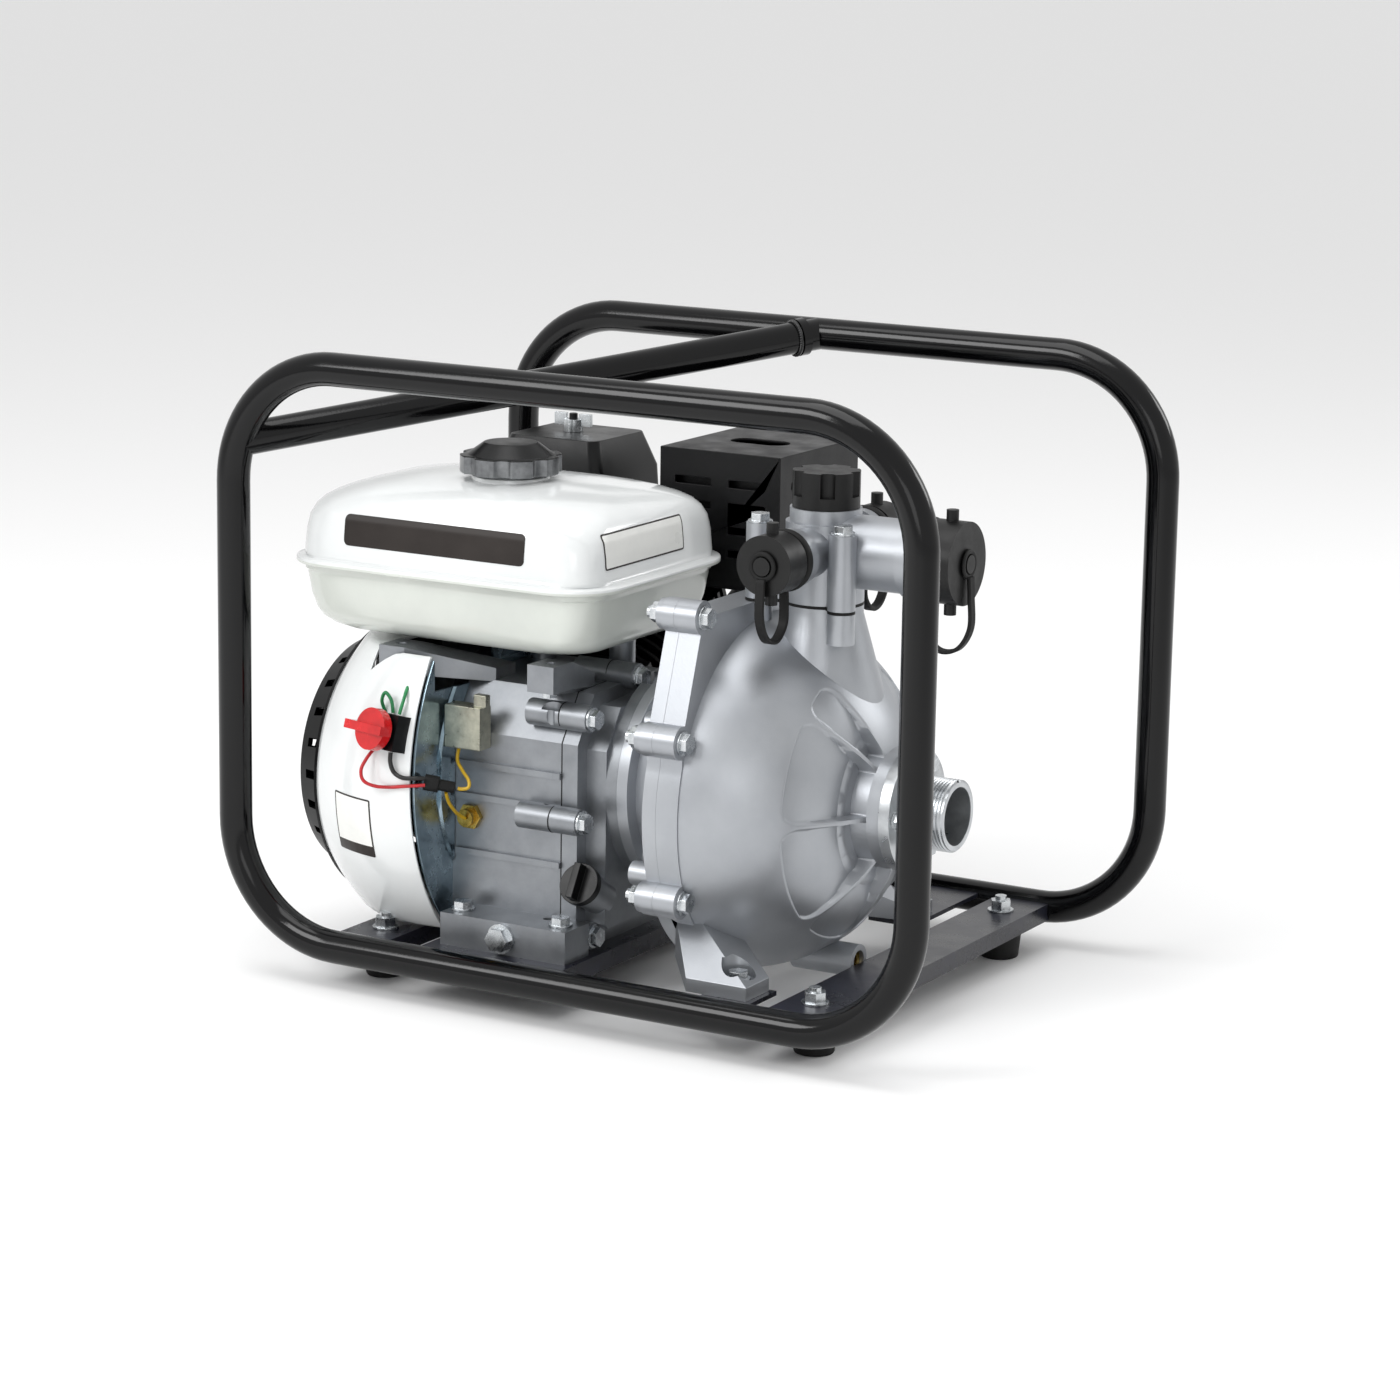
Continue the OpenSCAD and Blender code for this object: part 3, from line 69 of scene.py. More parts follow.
# Sizes are in metres: grain is the size of the surface texture, relief its depth, patch the size of the
# slow changes in tone and gloss.
finishTable = {
    # Stove enamel on tube: nearly a mirror, with the slight orange peel of a sprayed coat
    "glossBlackEnamel": dict(dark="#020203", light="#050506", rough=(0.09, 0.16), grain=0.0016,
                             relief=0.00002, patch=0.05, shine=0.3),
    # The same enamel on folded sheet, dustier and a little blue
    "blueBlackEnamel": dict(dark="#101118", light="#22232f", rough=(0.22, 0.38), grain=0.0012,
                            relief=0.00002, patch=0.035, shine=0.45),
    # Moulded nitrile rubber: matt, faintly greyed
    "mouldedRubber": dict(dark="#070707", light="#0f0f0f", rough=(0.5, 0.7), grain=0.0008,
                          relief=0.00004, patch=0.02, shine=0.3),
    # Bright zinc plate on steel fasteners
    "brightZincPlate": dict(dark="#a9adb0", light="#d9dcde", rough=(0.18, 0.34), grain=0.0006,
                            relief=0.00001, patch=0.006, metallic=1.0),
    # High-pressure die casting, shot blasted: even grey with a fine tooth
    "shotBlastedDieCasting": dict(dark="#808387", light="#999ca0", rough=(0.34, 0.46), grain=0.0009,
                                  relief=0.00005, patch=0.03, metallic=0.85),
    # Silver lacquer over sand-cast aluminium: brighter, with a soft wide highlight
    "silverLacqueredCasting": dict(dark="#a1a4a9", light="#afb2b6", rough=(0.37, 0.42), grain=0.0012,
                                   relief=0.00005, patch=0.06, metallic=0.8),
    # Machined aluminium, fine tool marks
    "machinedAluminium": dict(dark="#a8abae", light="#d2d5d7", rough=(0.24, 0.4), grain=0.0008,
                              relief=0.00003, patch=0.02, metallic=0.9, stretch=(1, 1, 6)),
    # Heat-resistant satin black on cast fins
    "satinBlackHeatPaint": dict(dark="#040405", light="#0b0b0d", rough=(0.34, 0.5), grain=0.001,
                                relief=0.00005, patch=0.02, shine=0.25),
    # Glazed insulator
    "glazedPorcelain": dict(dark="#d8d4ca", light="#efece4", rough=(0.1, 0.16), grain=0.002,
                            relief=0.00001, patch=0.01, coat=0.6),
    # Ground and polished steel
    "groundSteel": dict(dark="#808488", light="#a9adb0", rough=(0.2, 0.34), grain=0.0006,
                        relief=0.00002, patch=0.02, metallic=1.0),
    # Grey iron casting, slightly oily
    "greyIronCasting": dict(dark="#4a4c4f", light="#6a6d70", rough=(0.4, 0.6), grain=0.0011,
                            relief=0.00008, patch=0.02, metallic=0.8),
    # Blue-passivated zinc on pressed sheet: cool, with cloudy gloss
    "bluePassivatedZinc": dict(dark="#6f828d", light="#a9bcc7", rough=(0.16, 0.34), grain=0.0015,
                               relief=0.00003, patch=0.018, metallic=0.95),
    # Gloss white polyester enamel on pressed sheet
    "glossWhiteEnamel": dict(dark="#dcdfdf", light="#e6e8e8", rough=(0.12, 0.2), grain=0.002,
                             relief=0.000015, patch=0.08, coat=0.5),
    # The lower tank's coat: a real off-white, yellower and a little softer, set darker than the upper coat as
    # painted shade on the lower half
    "creamEnamelAndPaintedShade": dict(dark="#c6cac4", light="#d3d7d0", rough=(0.18, 0.28), grain=0.002,
                             relief=0.000015, patch=0.08, coat=0.4),
    # Silver-grey lacquer on the moulded filler cap's rim
    "greyMetallicLacquer": dict(dark="#5d5f61", light="#8b8d8f", rough=(0.28, 0.4), grain=0.0008,
                                relief=0.00003, patch=0.01, metallic=0.7, coat=0.3),
    # Moulded polypropylene: black with a dull sheen
    "mouldedBlackPlastic": dict(dark="#040405", light="#090a0b", rough=(0.28, 0.4), grain=0.0007,
                                relief=0.00003, patch=0.02, shine=0.28),
    # Glass-filled nylon: a deeper black, rougher where the glass shows
    "glassFilledNylon": dict(dark="#060606", light="#0e0e0e", rough=(0.36, 0.52), grain=0.0005,
                             relief=0.00004, patch=0.012, shine=0.35),
    # Gloss red ABS
    "glossRedAbs": dict(dark="#b10d12", light="#cf171b", rough=(0.2, 0.3), grain=0.0012,
                        relief=0.00002, patch=0.012, coat=0.3),
    # Oiled filter foam: open cells
    "oiledFoam": dict(dark="#2c2e2a", light="#4a4d48", rough=(0.8, 0.95), grain=0.0016,
                      relief=0.0006, patch=0.02),
    # Yellow-green chromate on a small steel can
    "oliveChromate": dict(dark="#8b8b7e", light="#bdbcab", rough=(0.24, 0.4), grain=0.0008,
                          relief=0.00002, patch=0.008, metallic=0.85),
    # Turned brass, not polished: fine tool marks
    "machinedBrass": dict(dark="#8d7433", light="#bfa455", rough=(0.2, 0.34), grain=0.0006,
                          relief=0.00002, patch=0.006, metallic=1.0),
    # Sand-cast bronze, browned
    "castBronze": dict(dark="#7c5e2e", light="#a88545", rough=(0.34, 0.5), grain=0.001,
                       relief=0.00005, patch=0.02, metallic=1.0),
    # PVC insulation, one for each lead
    "blackInsulation": dict(dark="#090909", light="#141414", rough=(0.3, 0.4), grain=0.001,
                            relief=0.00001, patch=0.01),
    "redInsulation": dict(dark="#a01018", light="#c01c24", rough=(0.3, 0.4), grain=0.001,
                          relief=0.00001, patch=0.01),
    "greenInsulation": dict(dark="#12633a", light="#1f8a4c", rough=(0.3, 0.4), grain=0.001,
                            relief=0.00001, patch=0.01),
    "yellowInsulation": dict(dark="#a88712", light="#cba41c", rough=(0.3, 0.4), grain=0.001,
                             relief=0.00001, patch=0.01),
    # Vinyl film, blank: one dark, one white
    "darkVinyl": dict(dark="#211b18", light="#2b2522", rough=(0.34, 0.44), grain=0.002,
                      relief=0.00001, patch=0.04, shine=0.3),
    "whiteVinyl": dict(dark="#e2e3df", light="#eeeeea", rough=(0.26, 0.34), grain=0.002,
                       relief=0.00001, patch=0.04),
    # Dry weld bead under the enamel
    "weldBeadEnamel": dict(dark="#050506", light="#101012", rough=(0.3, 0.5), grain=0.0022,
                           relief=0.0003, patch=0.01, coat=0.2),
}


def makeFinish(name, dark, light, rough, grain, relief, patch, metallic=0.0, coat=0.0, shine=0.5,
               stretch=(1, 1, 1)):
    material = bpy.data.materials.new(name)
    material.use_nodes = True
    tree = material.node_tree
    shader = tree.nodes["Principled BSDF"]
    shader.inputs["Metallic"].default_value = metallic
    shader.inputs["Specular IOR Level"].default_value = shine
    shader.inputs["Coat Weight"].default_value = coat
    shader.inputs["Coat Roughness"].default_value = 0.08
    place = addNode(tree, "ShaderNodeTexCoord")
    turned = addNode(tree, "ShaderNodeMapping", {"Scale": stretch}, {"Vector": place.outputs["Object"]})
    clouds = addNode(tree, "ShaderNodeTexNoise", {"Scale": 1 / patch, "Detail": 5.0, "Roughness": 0.6},
                     {"Vector": place.outputs["Object"]})
    tooth = addNode(tree, "ShaderNodeTexNoise", {"Scale": 1 / grain, "Detail": 2.0},
                    {"Vector": turned.outputs["Vector"]})
    tone = addNode(tree, "ShaderNodeValToRGB", None, {"Fac": clouds.outputs["Fac"]})
    tone.color_ramp.elements[0].position = 0.3
    tone.color_ramp.elements[0].color = hexToLinear(dark)
    tone.color_ramp.elements[1].position = 0.7
    tone.color_ramp.elements[1].color = hexToLinear(light)
    gloss = addNode(tree, "ShaderNodeMapRange",
                    {"From Min": 0.3, "From Max": 0.7, "To Min": rough[0], "To Max": rough[1]},
                    {"Value": clouds.outputs["Fac"]})
    relieved = addNode(tree, "ShaderNodeBump", {"Strength": 1.0, "Distance": relief},
                       {"Height": tooth.outputs["Fac"]})
    tree.links.new(tone.outputs["Color"], shader.inputs["Base Color"])
    tree.links.new(gloss.outputs["Result"], shader.inputs["Roughness"])
    tree.links.new(relieved.outputs["Normal"], shader.inputs["Normal"])
    return material


finish = {name: makeFinish(name, **look) for name, look in finishTable.items()}
print("finishes made:", len(finish))


def pick(*pieces):
    if bpy.context.object and bpy.context.object.mode != "OBJECT":
        bpy.ops.object.mode_set(mode="OBJECT")
    bpy.ops.object.select_all(action="DESELECT")
    for piece in pieces:
        piece.select_set(True)
    bpy.context.view_layer.objects.active = pieces[0]


def editAll(piece):
    pick(piece)
    bpy.ops.object.mode_set(mode="EDIT")
    bpy.ops.mesh.select_all(action="SELECT")


# Leaves the piece in edit mode with just the faces that pass the test selected
def selectFaces(piece, test):
    editAll(piece)
    bpy.ops.mesh.select_mode(type="FACE")
    bpy.ops.mesh.select_all(action="DESELECT")
    bpy.ops.object.mode_set(mode="OBJECT")
    for face in piece.data.polygons:
        face.select = test(face)
    bpy.ops.object.mode_set(mode="EDIT")


def leaveEdit():
    bpy.ops.mesh.select_mode(type="VERT")
    bpy.ops.object.mode_set(mode="OBJECT")


def applyModifiers(piece):
    pick(piece)
    for modifier in list(piece.modifiers):
        bpy.ops.object.modifier_apply(modifier=modifier.name)


# Gives a finished shape its name, finish and body, with its place in its mesh
def settle(piece, name, look, body="root", nodes=(), smooth=35):
    pick(piece)
    bpy.ops.object.transform_apply(location=True, rotation=True, scale=True)
    piece.name = name
    piece.data.name = name
    if look:
        piece.data.materials.clear()
        piece.data.materials.append(finish[look])
    bpy.ops.object.shade_smooth_by_angle(angle=math.radians(smooth))
    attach(piece, body)
    if nodes:
        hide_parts(*nodes)
    return piece


# Broken edges, as every casting and pressing has, then normals that keep the flats flat
def breakEdges(piece, width, segments=2, angle=32):
    edges = piece.modifiers.new("brokenEdges", "BEVEL")
    edges.width = width
    edges.segments = segments
    edges.limit_method = "ANGLE"
    edges.angle_limit = math.radians(angle)
    edges.use_clamp_overlap = True
    edges.miter_outer = "MITER_ARC"
    applyModifiers(piece)


def flatFlats(piece):
    weights = piece.modifiers.new("flatFlats", "WEIGHTED_NORMAL")
    weights.keep_sharp = True
    applyModifiers(piece)


# A copy of a CAD node's mesh, merged and left in edit mode
def mergedCopy(node, name):
    piece = bpy.data.objects.new(name, frame["nodes"][node].data.copy())
    bpy.context.scene.collection.objects.link(piece)
    pick(piece)
    bpy.ops.mesh.customdata_custom_splitnormals_clear()
    editAll(piece)
    bpy.ops.mesh.remove_doubles(threshold=0.000004)
    return piece


# Makes the selected flats whole, so that the bevel finds only real edges
def mendFlats():
    bpy.ops.mesh.dissolve_limited(angle_limit=math.radians(0.4))


def cadCopy(node, name):
    piece = mergedCopy(node, name)
    mendFlats()
    bpy.ops.object.mode_set(mode="OBJECT")
    return piece


def camelName(node):
    words = node.split("_")
    return words[0] + "".join(word.capitalize() for word in words[1:])


# Camera, standing where the photograph was taken from
camera = {"target": (0.0006, 0.0, 0.1843), "distance": 2.7795, "azimuth": 29.80, "elevation": 12.24,
          "roll": 0.954, "lens": 106.3, "sensor": 36, "clip": (0.1, 100)}
azimuth, elevation = math.radians(camera["azimuth"]), math.radians(camera["elevation"])
backward = Vector((math.sin(azimuth) * math.cos(elevation), -math.cos(azimuth) * math.cos(elevation),
                   math.sin(elevation)))
bpy.ops.object.camera_add(location=Vector(camera["target"]) + backward * camera["distance"])
view = bpy.context.object
view.name = "camera"
view.rotation_mode = "QUATERNION"
level = (-backward).to_track_quat("-Z", "Y")
view.rotation_quaternion = level @ Quaternion((0, 0, 1), math.radians(camera["roll"]))
view.data.lens = camera["lens"]
view.data.sensor_width = camera["sensor"]
view.data.clip_start, view.data.clip_end = camera["clip"]
bpy.context.scene.camera = view

# Plain parts are the CAD shape with broken edges. Each node has its finish and its edges' width in metres.
plainParts = {
    "cross_tube": ("glossBlackEnamel", 0.0),
    "base_plates": ("blueBlackEnamel", 0.0008),
    "rubber_feet": ("mouldedRubber", 0.0015),
    "mounting_bolts": ("brightZincPlate", 0.0006),
    "crankcase": ("shotBlastedDieCasting", 0.0014),
    "side_cover": ("shotBlastedDieCasting", 0.0012),
    "engine_bolts": ("brightZincPlate", 0.0006),
    "drain_plug": ("brightZincPlate", 0.0006),
    "dipstick": ("mouldedBlackPlastic", 0.001),
    "barrel": ("satinBlackHeatPaint", 0.0006),
    "cylinder_head": ("satinBlackHeatPaint", 0.0008),
    "rocker_cover": ("satinBlackHeatPaint", 0.002),
    "spark_plug": ("glazedPorcelain", 0.0004),
    "plug_boot": ("mouldedRubber", 0.001),
    "crankshaft": ("groundSteel", 0.0006),
    "connecting_rod": ("groundSteel", 0.0008),
    "piston": ("machinedAluminium", 0.0004),
    "flywheel": ("greyIronCasting", 0.0008),
    "back_plate": ("bluePassivatedZinc", 0.0005),
    "recoil_cover": ("mouldedBlackPlastic", 0.0006),
    "starter_pulley": ("mouldedBlackPlastic", 0.0005),
    "starter_grip": ("mouldedBlackPlastic", 0.001),
    "filter_base": ("mouldedBlackPlastic", 0.0012),
    "filter_element": ("oiledFoam", 0.002),
    "filter_cover": ("mouldedBlackPlastic", 0.0008),
    "wing_nut": ("brightZincPlate", 0.0005),
    "carburettor": ("shotBlastedDieCasting", 0.0012),
    "choke_lever": ("mouldedBlackPlastic", 0.0006),
    "fuel_tap": ("mouldedBlackPlastic", 0.0006),
    "throttle_lever": ("groundSteel", 0.0004),
    "muffler": ("satinBlackHeatPaint", 0.004),
    "muffler_guard": ("satinBlackHeatPaint", 0.0006),
    "switch_body": ("mouldedBlackPlastic", 0.0008),
    "switch_knob": ("glossRedAbs", 0.0014),
    "oil_relay": ("oliveChromate", 0.0016),
    "oil_sensor": ("machinedBrass", 0.0006),
    "pump_back": ("silverLacqueredCasting", 0.0014),
    "shaft_seal": ("mouldedRubber", 0.0005),
    "impeller": ("castBronze", 0.0008),
    "pump_bolts": ("brightZincPlate", 0.0006),
    "pump_drain_plug": ("machinedBrass", 0.0005),
    "outlet_gasket": ("mouldedRubber", 0.0),
    "manifold": ("silverLacqueredCasting", 0.0012),
    "priming_cap": ("glassFilledNylon", 0.0012),
    "near_cap": ("glassFilledNylon", 0.0012),
    "front_cap": ("glassFilledNylon", 0.0012),
    "far_cap": ("glassFilledNylon", 0.0012),
}
for node, (look, width) in plainParts.items():
    part = cadCopy(node, camelName(node))
    if width:
        breakEdges(part, width)
    settle(part, camelName(node) + "Piece", look, bodyOf[node], [node])
    if width:
        flatFlats(part)
print("plain parts made:", len(plainParts))

# Paper gasket between the crankcase and its cover: the cover's joint face, standing 0.3 mm proud
gasket = {"thickness": 0.0007, "proud": 0.0003, "depth": 0.0001, "flat": 0.99}
seal = cadCopy("side_cover", "sideCoverGasket")
low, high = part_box("side_cover")
selectFaces(seal, lambda face: face.normal.x > -gasket["flat"] or face.center.x > low.x + gasket["depth"])
bpy.ops.mesh.delete(type="FACE")
leaveEdit()
middle = sum((vertex.co for vertex in seal.data.vertices), Vector()) / len(seal.data.vertices)
for vertex in seal.data.vertices:
    outward = Vector((0, vertex.co.y - middle.y, vertex.co.z - middle.z)).normalized()
    vertex.co += outward * gasket["proud"]
paper = seal.modifiers.new("paper", "SOLIDIFY")
paper.thickness = gasket["thickness"]
paper.offset = 0
applyModifiers(seal)
settle(seal, "sideCoverGasket", "mouldedRubber", "root")
print("gasket made")


# A tube along points, as a mesh
def tubeAlong(points, radius, closed=False, sides=6):
    line = bpy.data.curves.new("tube", "CURVE")
    line.dimensions = "3D"
    line.bevel_depth = radius
    line.bevel_resolution = sides
    line.use_fill_caps = not closed
    spline = line.splines.new("POLY")
    spline.points.add(len(points) - 1)
    for knot, point in zip(spline.points, points):
        knot.co = (*point, 1)
    spline.use_cyclic_u = closed
    tube = bpy.data.objects.new("tube", line)
    bpy.context.scene.collection.objects.link(tube)
    return tube


def asMesh(curve):
    pick(curve)
    bpy.ops.object.convert(target="MESH")
    return bpy.context.object


tubing = {"radius": 0.0111, "bend": 0.080, "stepsPerBend": 20}
for node in ("near_loop", "far_loop"):
    low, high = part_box(node)
    middle = (low + high) / 2
    halfLength = (high.x - low.x) / 2 - tubing["radius"] - tubing["bend"]
    halfHeight = (high.z - low.z) / 2 - tubing["radius"] - tubing["bend"]
    points = []
    for corner, (sx, sz) in enumerate([(1, 1), (-1, 1), (-1, -1), (1, -1)]):
        for step in range(tubing["stepsPerBend"] + 1):
            turn = math.radians(90 * (corner + step / tubing["stepsPerBend"]))
            points.append((middle.x + sx * halfLength + tubing["bend"] * math.cos(turn), middle.y,
                           middle.z + sz * halfHeight + tubing["bend"] * math.sin(turn)))
    loop = asMesh(tubeAlong(points, tubing["radius"], closed=True, sides=10))
    settle(loop, camelName(node) + "Tube", "glossBlackEnamel", "root", [node], smooth=50)

# Weld bead round the cross tube where it meets the far loop
bead = {"radius": 0.0115, "thickness": 0.0015, "ripples": 46, "lift": 0.0006, "swell": 0.02, "along": 0.0198,
        "segments": 184, "farEnd": (-0.010, 0.178, 0.413), "nearEnd": (-0.2493, -0.178, 0.3604)}
farEnd = Vector(bead["farEnd"])
along = (Vector(bead["nearEnd"]) - farEnd).normalized()
bpy.ops.mesh.primitive_torus_add(location=farEnd + along * bead["along"], major_radius=bead["radius"],
                                 minor_radius=bead["thickness"], major_segments=bead["segments"],
                                 minor_segments=12, rotation=along.to_track_quat("Z", "Y").to_euler())
weld = bpy.context.object
for vertex in weld.data.vertices:
    around = math.atan2(vertex.co.y, vertex.co.x)
    ripple = 0.5 + 0.5 * math.cos(around * bead["ripples"])
    vertex.co.z += bead["lift"] * ripple
    vertex.co.xy *= 1 + bead["swell"] * ripple
settle(weld, "crossTubeWeld", "weldBeadEnamel", "root", smooth=60)
print("frame tubes made")

# Fuel tank: a level has its height above the seam, inset from the flange's edge and corner radius
tank = {"corner": 0.038, "cornerSteps": 12,
        "upper": [(0.0, 0.0, 0.038), (0.0014, 0.0, 0.038), (0.0021, 0.0007, 0.0375), (0.0024, 0.0060, 0.033),
                  (0.0032, 0.0076, 0.026), (0.0060, 0.0083, 0.023), (0.020, 0.0092, 0.023),
                  (0.030, 0.0104, 0.025), (0.0365, 0.0126, 0.028), (0.0410, 0.0158, 0.031),
                  (0.0445, 0.0202, 0.035), (0.0475, 0.0262, 0.039), (0.0502, 0.0340, 0.043),
                  (0.0525, 0.0435, 0.044), (0.0544, 0.0550, 0.038), (0.0557, 0.0680, 0.027),
                  (0.0563, 0.0800, 0.016)],
        "lower": [(0.0, 0.0, 0.038), (-0.0014, 0.0, 0.038), (-0.0021, 0.0007, 0.0375),
                  (-0.0024, 0.0060, 0.031), (-0.0036, 0.0080, 0.026), (-0.0062, 0.0086, 0.023),
                  (-0.0072, 0.0100, 0.022), (-0.0092, 0.0104, 0.021), (-0.024, 0.0126, 0.020),
                  (-0.0335, 0.0148, 0.021), (-0.0390, 0.0172, 0.023), (-0.0430, 0.0208, 0.026),
                  (-0.0460, 0.0262, 0.029), (-0.0480, 0.0330, 0.032), (-0.0489, 0.0420, 0.034)]}


# Rings stacked from the seam, each a rounded rectangle with its own inset and corner
def tankHalf(node, levels):
    low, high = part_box(node)
    seam = low.z if levels[-1][0] > 0 else high.z
    middle = Vector(((low.x + high.x) / 2, (low.y + high.y) / 2, seam))
    halfLength, halfWidth = (high.x - low.x) / 2, (high.y - low.y) / 2
    bpy.ops.mesh.primitive_plane_add(size=1)
    half = bpy.context.object
    half.scale = (2 * halfLength, 2 * halfWidth, 1)
    bpy.ops.object.transform_apply(location=False, rotation=False, scale=True)
    editAll(half)
    bpy.ops.mesh.bevel(affect="VERTICES", offset=tank["corner"], segments=tank["cornerSteps"])
    bpy.ops.mesh.select_all(action="SELECT")
    for (height, *_), (nextHeight, *_) in zip(levels, levels[1:]):
        bpy.ops.mesh.extrude_region_move(TRANSFORM_OT_translate={"value": (0, 0, nextHeight - height)})
    bpy.ops.object.mode_set(mode="OBJECT")
    for vertex in half.data.vertices:
        height, inset, corner = min(levels, key=lambda level: abs(level[0] - vertex.co.z))
        outX = (abs(vertex.co.x) - halfLength + tank["corner"]) / tank["corner"]
        outY = (abs(vertex.co.y) - halfWidth + tank["corner"]) / tank["corner"]
        vertex.co = middle + Vector((math.copysign(halfLength - inset - corner + corner * outX, vertex.co.x),
                                     math.copysign(halfWidth - inset - corner + corner * outY, vertex.co.y),
                                     height))
    editAll(half)
    bpy.ops.mesh.select_all(action="DESELECT")
    bpy.ops.mesh.select_non_manifold()
    bpy.ops.mesh.edge_face_add()
    bpy.ops.mesh.select_all(action="SELECT")
    bpy.ops.mesh.normals_make_consistent(inside=False)
    bpy.ops.object.mode_set(mode="OBJECT")
    return half


# Lower shell: a real off-white coat, set darker than the upper shell as painted shade
lowerHalf = tankHalf("tank_lower", tank["lower"])
settle(lowerHalf, "tankLowerShell", "creamEnamelAndPaintedShade", "root", ["tank_lower"],
       smooth=50)
upperHalf = tankHalf("tank_upper", tank["upper"])
settle(upperHalf, "tankUpperShell", "glossWhiteEnamel", "root", ["tank_upper"],
       smooth=50)

# Filler neck under the cap
capLow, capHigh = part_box("fuel_cap")
neck = {"radius": 0.0262, "top": 0.0150, "height": 0.014, "edge": 0.001}
bpy.ops.mesh.primitive_cylinder_add(vertices=64, radius=neck["radius"], depth=neck["height"], location=(
    (capLow.x + capHigh.x) / 2, (capLow.y + capHigh.y) / 2, capLow.z + neck["top"] - neck["height"]))
filler = bpy.context.object
breakEdges(filler, neck["edge"])
settle(filler, "fillerNeck", "glossWhiteEnamel", "root")

# Filler cap: grey lobed rim with a black crown
crown = {"edge": 0.0022, "below": 0.0102}
cap = cadCopy("fuel_cap", "fuelCap")
breakEdges(cap, crown["edge"], segments=3)
settle(cap, "fuelCapBody", "greyMetallicLacquer", "fuel_cap", ["fuel_cap"])
cap.data.materials.append(finish["mouldedBlackPlastic"])
for face in cap.data.polygons:
    if face.center.z > capHigh.z - crown["below"] and face.normal.z > 0.05:
        face.material_index = 1
flatFlats(cap)
print("tank made")

# Fan shroud: a drum that narrows from the flywheel's rim to the starter, flat at its foot, top and far side
shroud = {"rim": 0.155, "rimMiddle": (-0.012, 0.140), "nose": 0.0965, "noseMiddle": (-0.035, 0.125),
          "low": 0.0365, "high": 0.2235, "far": 0.0745, "vertices": 240, "rings": 16, "bulge": 1.9,
          "thickness": 0.0016, "notchMiddle": (-0.1435, -0.1045, 0.240), "notchSize": (0.054, 0.072, 0.080)}
low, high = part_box("fan_shroud")
bpy.ops.mesh.primitive_circle_add(vertices=shroud["vertices"], radius=1, rotation=(0, math.pi / 2, 0))
drum = bpy.context.object
bpy.ops.object.transform_apply(location=True, rotation=True, scale=True)
editAll(drum)
for ring in range(shroud["rings"]):
    bpy.ops.mesh.extrude_region_move(TRANSFORM_OT_translate={"value": (-1, 0, 0)})
bpy.ops.object.mode_set(mode="OBJECT")
for vertex in drum.data.vertices:
    share = round(-vertex.co.x) / shroud["rings"]
    radius = shroud["rim"] + (shroud["nose"] - shroud["rim"]) * share ** shroud["bulge"]
    middle = [a + (b - a) * share for a, b in zip(shroud["rimMiddle"], shroud["noseMiddle"])]
    y = middle[0] + radius * vertex.co.y
    z = middle[1] + radius * vertex.co.z
    vertex.co = (high.x + (low.x - high.x) * share, min(y, shroud["far"]),
                 max(shroud["low"], min(z, shroud["high"])))
editAll(drum)
bpy.ops.mesh.remove_doubles(threshold=0.00001)
bpy.ops.mesh.normals_make_consistent(inside=False)
bpy.ops.object.mode_set(mode="OBJECT")
wall = drum.modifiers.new("wall", "SOLIDIFY")
wall.thickness = shroud["thickness"]
wall.offset = -1
applyModifiers(drum)
# Room for the tank's rear arm
bpy.ops.mesh.primitive_cube_add(size=1, location=shroud["notchMiddle"], scale=shroud["notchSize"])
notch = bpy.context.object
cut = drum.modifiers.new("notch", "BOOLEAN")
cut.operation = "DIFFERENCE"
cut.object = notch
applyModifiers(drum)
bpy.data.objects.remove(notch)
settle(drum, "fanShroudDrum", "glossWhiteEnamel", "root", ["fan_shroud"],
       smooth=38)
print("fan shroud made")

# Pump casing: half an ellipsoid, pocketed between its ribs. Angles run round the inlet in degrees.
dome = {"split": 0.058, "radius": 0.120, "length": 0.116, "middle": (-0.035, 0.140), "hub": 0.0396,
        "ribs": (-180, -129, -90, -51, 0, 48, 69, 111, 132, 180), "outer": 0.0910, "halfRib": 0.0014,
        "plainFrom": 69, "corner": 0.009, "wall": 0.0013, "step": 0.0019, "sink": 0.0120, "curve": 1.7,
        "collar": 0.004, "hubEdge": 0.0008, "edge": 0.0014, "near": 0.006, "facing": 0.93}


# Distance from the pump's axis
def fromAxis(point):
    return math.hypot(point.y - dome["middle"][0], point.z - dome["middle"][1])


# How deep the casting is pocketed at a distance and angle round the inlet. It is plain under the riser.
def pocketDepth(rho, angle):
    for first, second in zip(dome["ribs"], dome["ribs"][1:]):
        if first <= angle <= second and first != dome["plainFrom"]:
            side = min(rho * math.sin(math.radians(angle - first)),
                       rho * math.sin(math.radians(second - angle))) - dome["halfRib"]
            rim = dome["outer"] - rho
            if side <= 0 or rim <= 0:
                return 0.0
            inside = min(side, rim)
            if side < dome["corner"] and rim < dome["corner"]:
                inside = dome["corner"] - math.hypot(dome["corner"] - side, dome["corner"] - rim)
            if inside <= 0:
                return 0.0
            share = min(1.0, inside / dome["wall"])
            share = share * share * (3 - 2 * share)
            deep = (dome["outer"] - rho) / (dome["outer"] - dome["hub"])
            return share * (dome["step"] + dome["sink"] * deep ** dome["curve"])
    return 0.0


